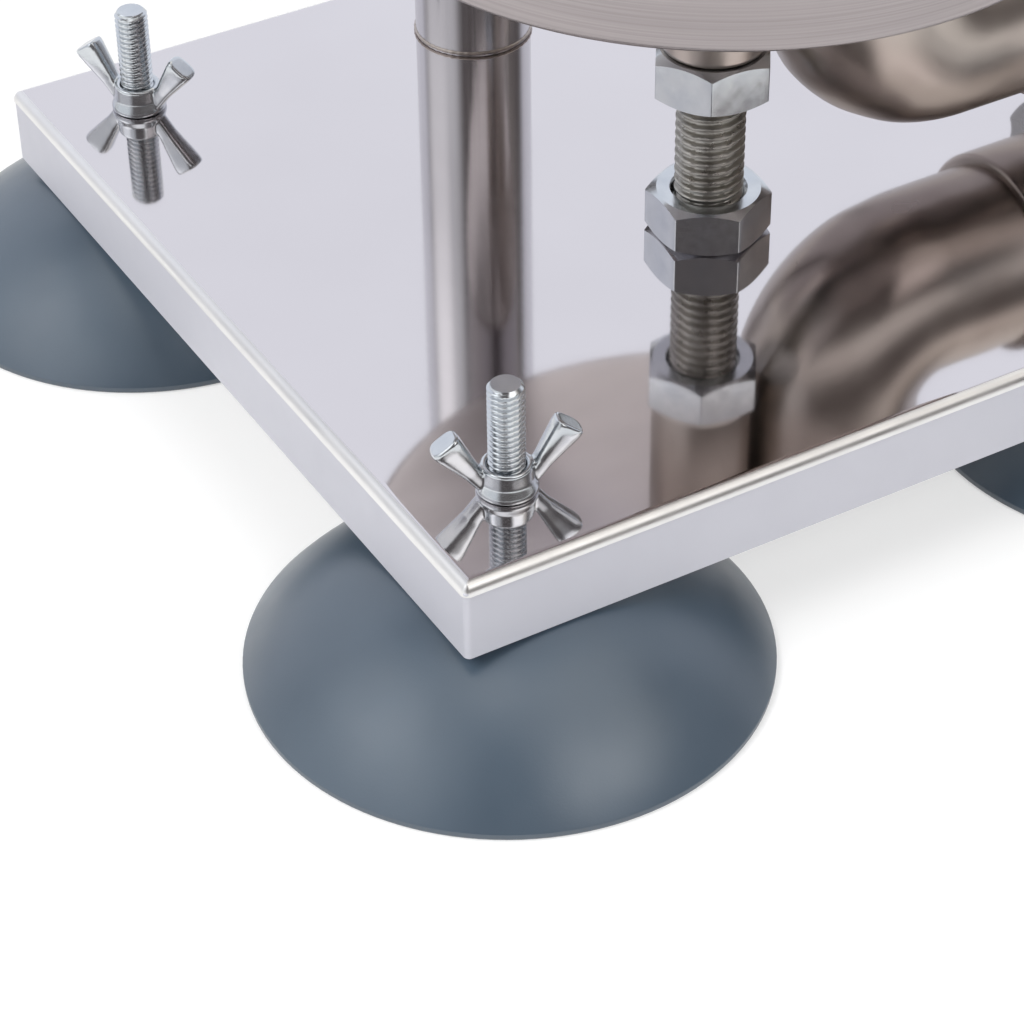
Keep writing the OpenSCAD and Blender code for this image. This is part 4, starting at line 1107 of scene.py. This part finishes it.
def crank_grip():
    low, high = span("crank_grip")
    place = middle("crank_grip")
    length = high.x - low.x
    most = (high.y - low.y) / 2
    side = []
    for k in range(GRIP_STEPS + 1):
        t = k / GRIP_STEPS
        if t < GRIP_END:
            rise = math.sin(t / GRIP_END * math.pi / 2)
            r = GRIP_WAIST_R * (GRIP_INNER_END + (1 - GRIP_INNER_END) * rise)
        elif t > 1 - GRIP_END:
            rise = math.sin((1 - t) / GRIP_END * math.pi / 2)
            r = GRIP_WAIST_R * (GRIP_OUTER_END + (1 - GRIP_OUTER_END) * rise)
        else:
            belly = math.sin((t - GRIP_END) / (1 - 2 * GRIP_END) * math.pi)
            r = GRIP_WAIST_R + (most - GRIP_WAIST_R) * belly
        for groove in GRIP_GROOVES:
            r -= GRIP_GROOVE_DEPTH * eased(1 - abs(t - groove) / GRIP_GROOVE_HALF)
        side.append((r, length * t))
    pocket_z = length - GRIP_POCKET
    inside = [(GRIP_POCKET_R, length), (GRIP_POCKET_R, pocket_z), (GRIP_BORE_R, pocket_z), (GRIP_BORE_R, 0)]
    shape = Shape().add(turned(side + inside, loop=True), along_x(low.x, place.y, place.z))
    make("crank_grip", shape, BLACK, sharp=45)


base_pan()
for foot in FEET:
    suction_cup(foot)
foot_studs()
wing_nuts()
column()
cylinder()
support()
outlet_elbow()
outlet_ferrule()
filling_tube()
screws("cheek_screws", 0)
screws("cover_screws", 2)
crank_grip()

PLAIN = {
    ROUND_BRUSHED: ("piston_plate",),
    TUBE_BRUSHED: ("union_nut",),
    LEVEL_BRUSHED: ("holder_bracket", "head_frame", "head_cover", "column_socket"),
    UPRIGHT_BRUSHED: ("crank_arm", "rack"),
    MACHINED: ("drive_pinion", "reduction_gear", "rack_pinion", "crank_shaft", "layshaft"),
    ZINC: ("column_plug", "column_bolt", "column_washer", "holder_bolt", "holder_nut", "grub_screws",
           "crank_nut", "grip_bolt", "hub_pin"),
    SPRING: ("crank_clip", "layshaft_clips"),
    SILICONE: ("outlet_gasket", "piston_seal"),
    NYLON: ("rack_guide", "vent_valve"),
    BLACK: ("rack_cap",),
    BRONZE: ("shaft_bushes",),
}
for material, nodes in PLAIN.items():
    for node in nodes:
        dress(node, material)


# Stage

FLOOR_SIZE = 80.0
FLOOR_DROP = 0.2 * MM
FLOOR_COLOUR = (0.55, 0.55, 0.55, 1)
FLOOR_ROUGHNESS = 0.9
FLOOR_GLOW = 0.5
VIEW_YAW = math.radians(60)
VIEW_PITCH = math.radians(38.41)
VIEW_ROLL = math.radians(-0.78)
VIEW_EYE = Vector((-257.69, -398.67, 332.68)) * MM
LENS = 109.76
SENSOR = 36
CLIP_START = 0.01
LAMP_TARGET = Vector((0, 0, 80)) * MM
DARK_STUDIO = (0.15, 0.137, 0.137)
SOFT_LEVEL = 0.45


class Nodes:
    """Short calls for a node tree's arithmetic."""

    def __init__(self, tree):
        self.tree = tree

    def feed(self, socket, value):
        if isinstance(value, bpy.types.NodeSocket):
            self.tree.links.new(value, socket)
        else:
            socket.default_value = value

    def math(self, operation, first, second=0.0):
        node = self.tree.nodes.new("ShaderNodeMath")
        node.operation = operation
        self.feed(node.inputs[0], first)
        self.feed(node.inputs[1], second)
        return node.outputs[0]

    def vector(self, operation, first, second, output="Value"):
        node = self.tree.nodes.new("ShaderNodeVectorMath")
        node.operation = operation
        self.feed(node.inputs[0], first)
        self.feed(node.inputs[1], second)
        return node.outputs[output]

    def step(self, value, start, full):
        node = self.tree.nodes.new("ShaderNodeMapRange")
        node.interpolation_type = "SMOOTHSTEP"
        self.feed(node.inputs["Value"], value)
        self.feed(node.inputs["From Min"], start)
        self.feed(node.inputs["From Max"], full)
        return node.outputs["Result"]

    def mix(self, share, first, last):
        node = self.tree.nodes.new("ShaderNodeMix")
        node.data_type = "RGBA"
        self.feed(node.inputs["Factor"], share)
        self.feed(node.inputs[MIX_FIRST], first)
        self.feed(node.inputs[MIX_LAST], last)
        return node.outputs[MIX_RESULT]

    def light(self, colour, strength=1.0):
        node = self.tree.nodes.new("ShaderNodeBackground")
        self.feed(node.inputs["Color"], colour)
        self.feed(node.inputs["Strength"], strength)
        return node.outputs[0]

    def either(self, share, first, last):
        node = self.tree.nodes.new("ShaderNodeMixShader")
        self.feed(node.inputs[0], share)
        self.feed(node.inputs[1], first)
        self.feed(node.inputs[2], last)
        return node.outputs[0]


def lit_rays(nodes):
    """1 for rays from the camera, and for those that come by way of a mirror or glass."""
    path = nodes.tree.nodes.new("ShaderNodeLightPath").outputs
    seen = nodes.math("MAXIMUM", path["Is Camera Ray"], path["Is Glossy Ray"])
    return nodes.math("MAXIMUM", seen, path["Is Transmission Ray"])


def floor():
    mesh = bpy.data.meshes.new("floor")
    half = FLOOR_SIZE / 2
    corners = ((-half, -half), (half, -half), (half, half), (-half, half))
    mesh.from_pydata([(x, y, -FLOOR_DROP) for x, y in corners], [], [(0, 1, 2, 3)])
    plane = bpy.data.objects.new("floor", mesh)
    bpy.context.scene.collection.objects.link(plane)
    material = bpy.data.materials.new("white_floor")
    material.use_nodes = True
    tree = material.node_tree
    nodes = Nodes(tree)
    shader = tree.nodes["Principled BSDF"]
    shader.inputs["Base Color"].default_value = FLOOR_COLOUR
    shader.inputs["Roughness"].default_value = FLOOR_ROUGHNESS
    shader.inputs["Specular IOR Level"].default_value = 0.0
    glow = tree.nodes.new("ShaderNodeEmission")
    nodes.feed(glow.inputs["Strength"], nodes.math("MULTIPLY", lit_rays(nodes), FLOOR_GLOW))
    both = tree.nodes.new("ShaderNodeAddShader")
    tree.links.new(shader.outputs[0], both.inputs[0])
    tree.links.new(glow.outputs[0], both.inputs[1])
    tree.links.new(both.outputs[0], tree.nodes["Material Output"].inputs["Surface"])
    mesh.materials.append(material)


# What the metal shows of the studio: azimuth of each soft box, where its half width is full and ends,
# the heights where it starts, is full, is still full and ends, all in degrees, and its colour
SOFT_BOXES = (
    (60, 57, 80, -90, -80, 42, 60, (0.955, 0.985, 1.07)),
    (172, 22, 48, -90, -80, 46, 62, (0.86, 0.88, 0.91)),
    (302, 12, 38, 28, 50, 68, 82, (1.3, 1.22, 1.12)),
    (157, 10, 32, 26, 44, 56, 68, (1.9, 1.92, 1.95)),
    (288, 13, 32, 28, 44, 55, 68, (2.1, 2.08, 2.05)),
    (0, 60, 90, 47, 56, 74, 88, (1.2, 1.16, 1.1)),
    (200, 100, 160, 66, 76, 89, 90, (1.5, 1.5, 1.5)),
)


def studio_colour(nodes):
    """Colour of the studio in each direction, as polished metal shows it."""
    way = nodes.tree.nodes.new("ShaderNodeTexCoord").outputs["Generated"]
    height = nodes.vector("DOT_PRODUCT", way, (0, 0, 1))
    flat = nodes.vector("MULTIPLY", way, (1, 1, 0), "Vector")
    level = nodes.vector("NORMALIZE", flat, (0, 0, 0), "Vector")
    colour = (*DARK_STUDIO, 1)
    for azimuth, half_full, half_end, start, full, still, end, shade in SOFT_BOXES:
        a = math.radians(azimuth)
        across = nodes.vector("DOT_PRODUCT", level, (math.cos(a), math.sin(a), 0))
        share = nodes.step(across, math.cos(math.radians(half_end)), math.cos(math.radians(half_full)))
        low = nodes.step(height, math.sin(math.radians(start)), math.sin(math.radians(full)))
        high = nodes.step(height, math.sin(math.radians(still)), math.sin(math.radians(end)))
        share = nodes.math("MULTIPLY", share, low)
        share = nodes.math("MULTIPLY", share, nodes.math("SUBTRACT", 1.0, high))
        colour = nodes.mix(share, colour, (*shade, 1))
    return colour


def world():
    scene_world = bpy.data.worlds.new("studio")
    bpy.context.scene.world = scene_world
    scene_world.use_nodes = True
    tree = scene_world.node_tree
    tree.nodes.clear()
    nodes = Nodes(tree)
    path = tree.nodes.new("ShaderNodeLightPath").outputs
    white = (1, 1, 1, 1)
    soft = nodes.light(white, SOFT_LEVEL)
    lit = nodes.either(path["Is Glossy Ray"], soft, nodes.light(studio_colour(nodes)))
    seen = nodes.math("MAXIMUM", path["Is Camera Ray"], path["Is Transmission Ray"])
    output = tree.nodes.new("ShaderNodeOutputWorld")
    tree.links.new(nodes.either(seen, lit, nodes.light(white)), output.inputs["Surface"])


# Lamps: azimuth and height in degrees, distance, size and power
LAMPS = (
    ("key", 190, 44, 1.2, 0.7, 9),
    ("fill", 276, 34, 1.3, 0.7, 6.5),
    ("back", 60, 55, 1.3, 0.9, 3),
)


def lamps():
    for name, azimuth, height, distance, size, power in LAMPS:
        a = math.radians(azimuth)
        h = math.radians(height)
        way = Vector((math.cos(a) * math.cos(h), math.sin(a) * math.cos(h), math.sin(h)))
        light = bpy.data.lights.new(name, "AREA")
        light.shape = "DISK"
        light.size = size
        light.energy = power
        lamp = bpy.data.objects.new(name, light)
        bpy.context.scene.collection.objects.link(lamp)
        lamp.visible_glossy = False
        lamp.location = LAMP_TARGET + distance * way
        lamp.rotation_euler = (-way).to_track_quat("-Z", "Y").to_euler()


def camera():
    reach = math.cos(VIEW_PITCH)
    forward = Vector((reach * math.cos(VIEW_YAW), reach * math.sin(VIEW_YAW), -math.sin(VIEW_PITCH)))
    level = Vector((math.sin(VIEW_YAW), -math.cos(VIEW_YAW), 0))
    upright = level.cross(forward)
    right = math.cos(VIEW_ROLL) * level + math.sin(VIEW_ROLL) * upright
    up = -math.sin(VIEW_ROLL) * level + math.cos(VIEW_ROLL) * upright
    data = bpy.data.cameras.new("camera")
    data.lens = LENS
    data.sensor_width = SENSOR
    data.clip_start = CLIP_START
    eye = bpy.data.objects.new("camera", data)
    bpy.context.scene.collection.objects.link(eye)
    turn = Matrix((right, up, -forward)).transposed().to_4x4()
    eye.matrix_world = Matrix.Translation(VIEW_EYE) @ turn
    bpy.context.scene.camera = eye


floor()
world()
lamps()
camera()
bpy.context.scene.view_settings.view_transform = "Standard"
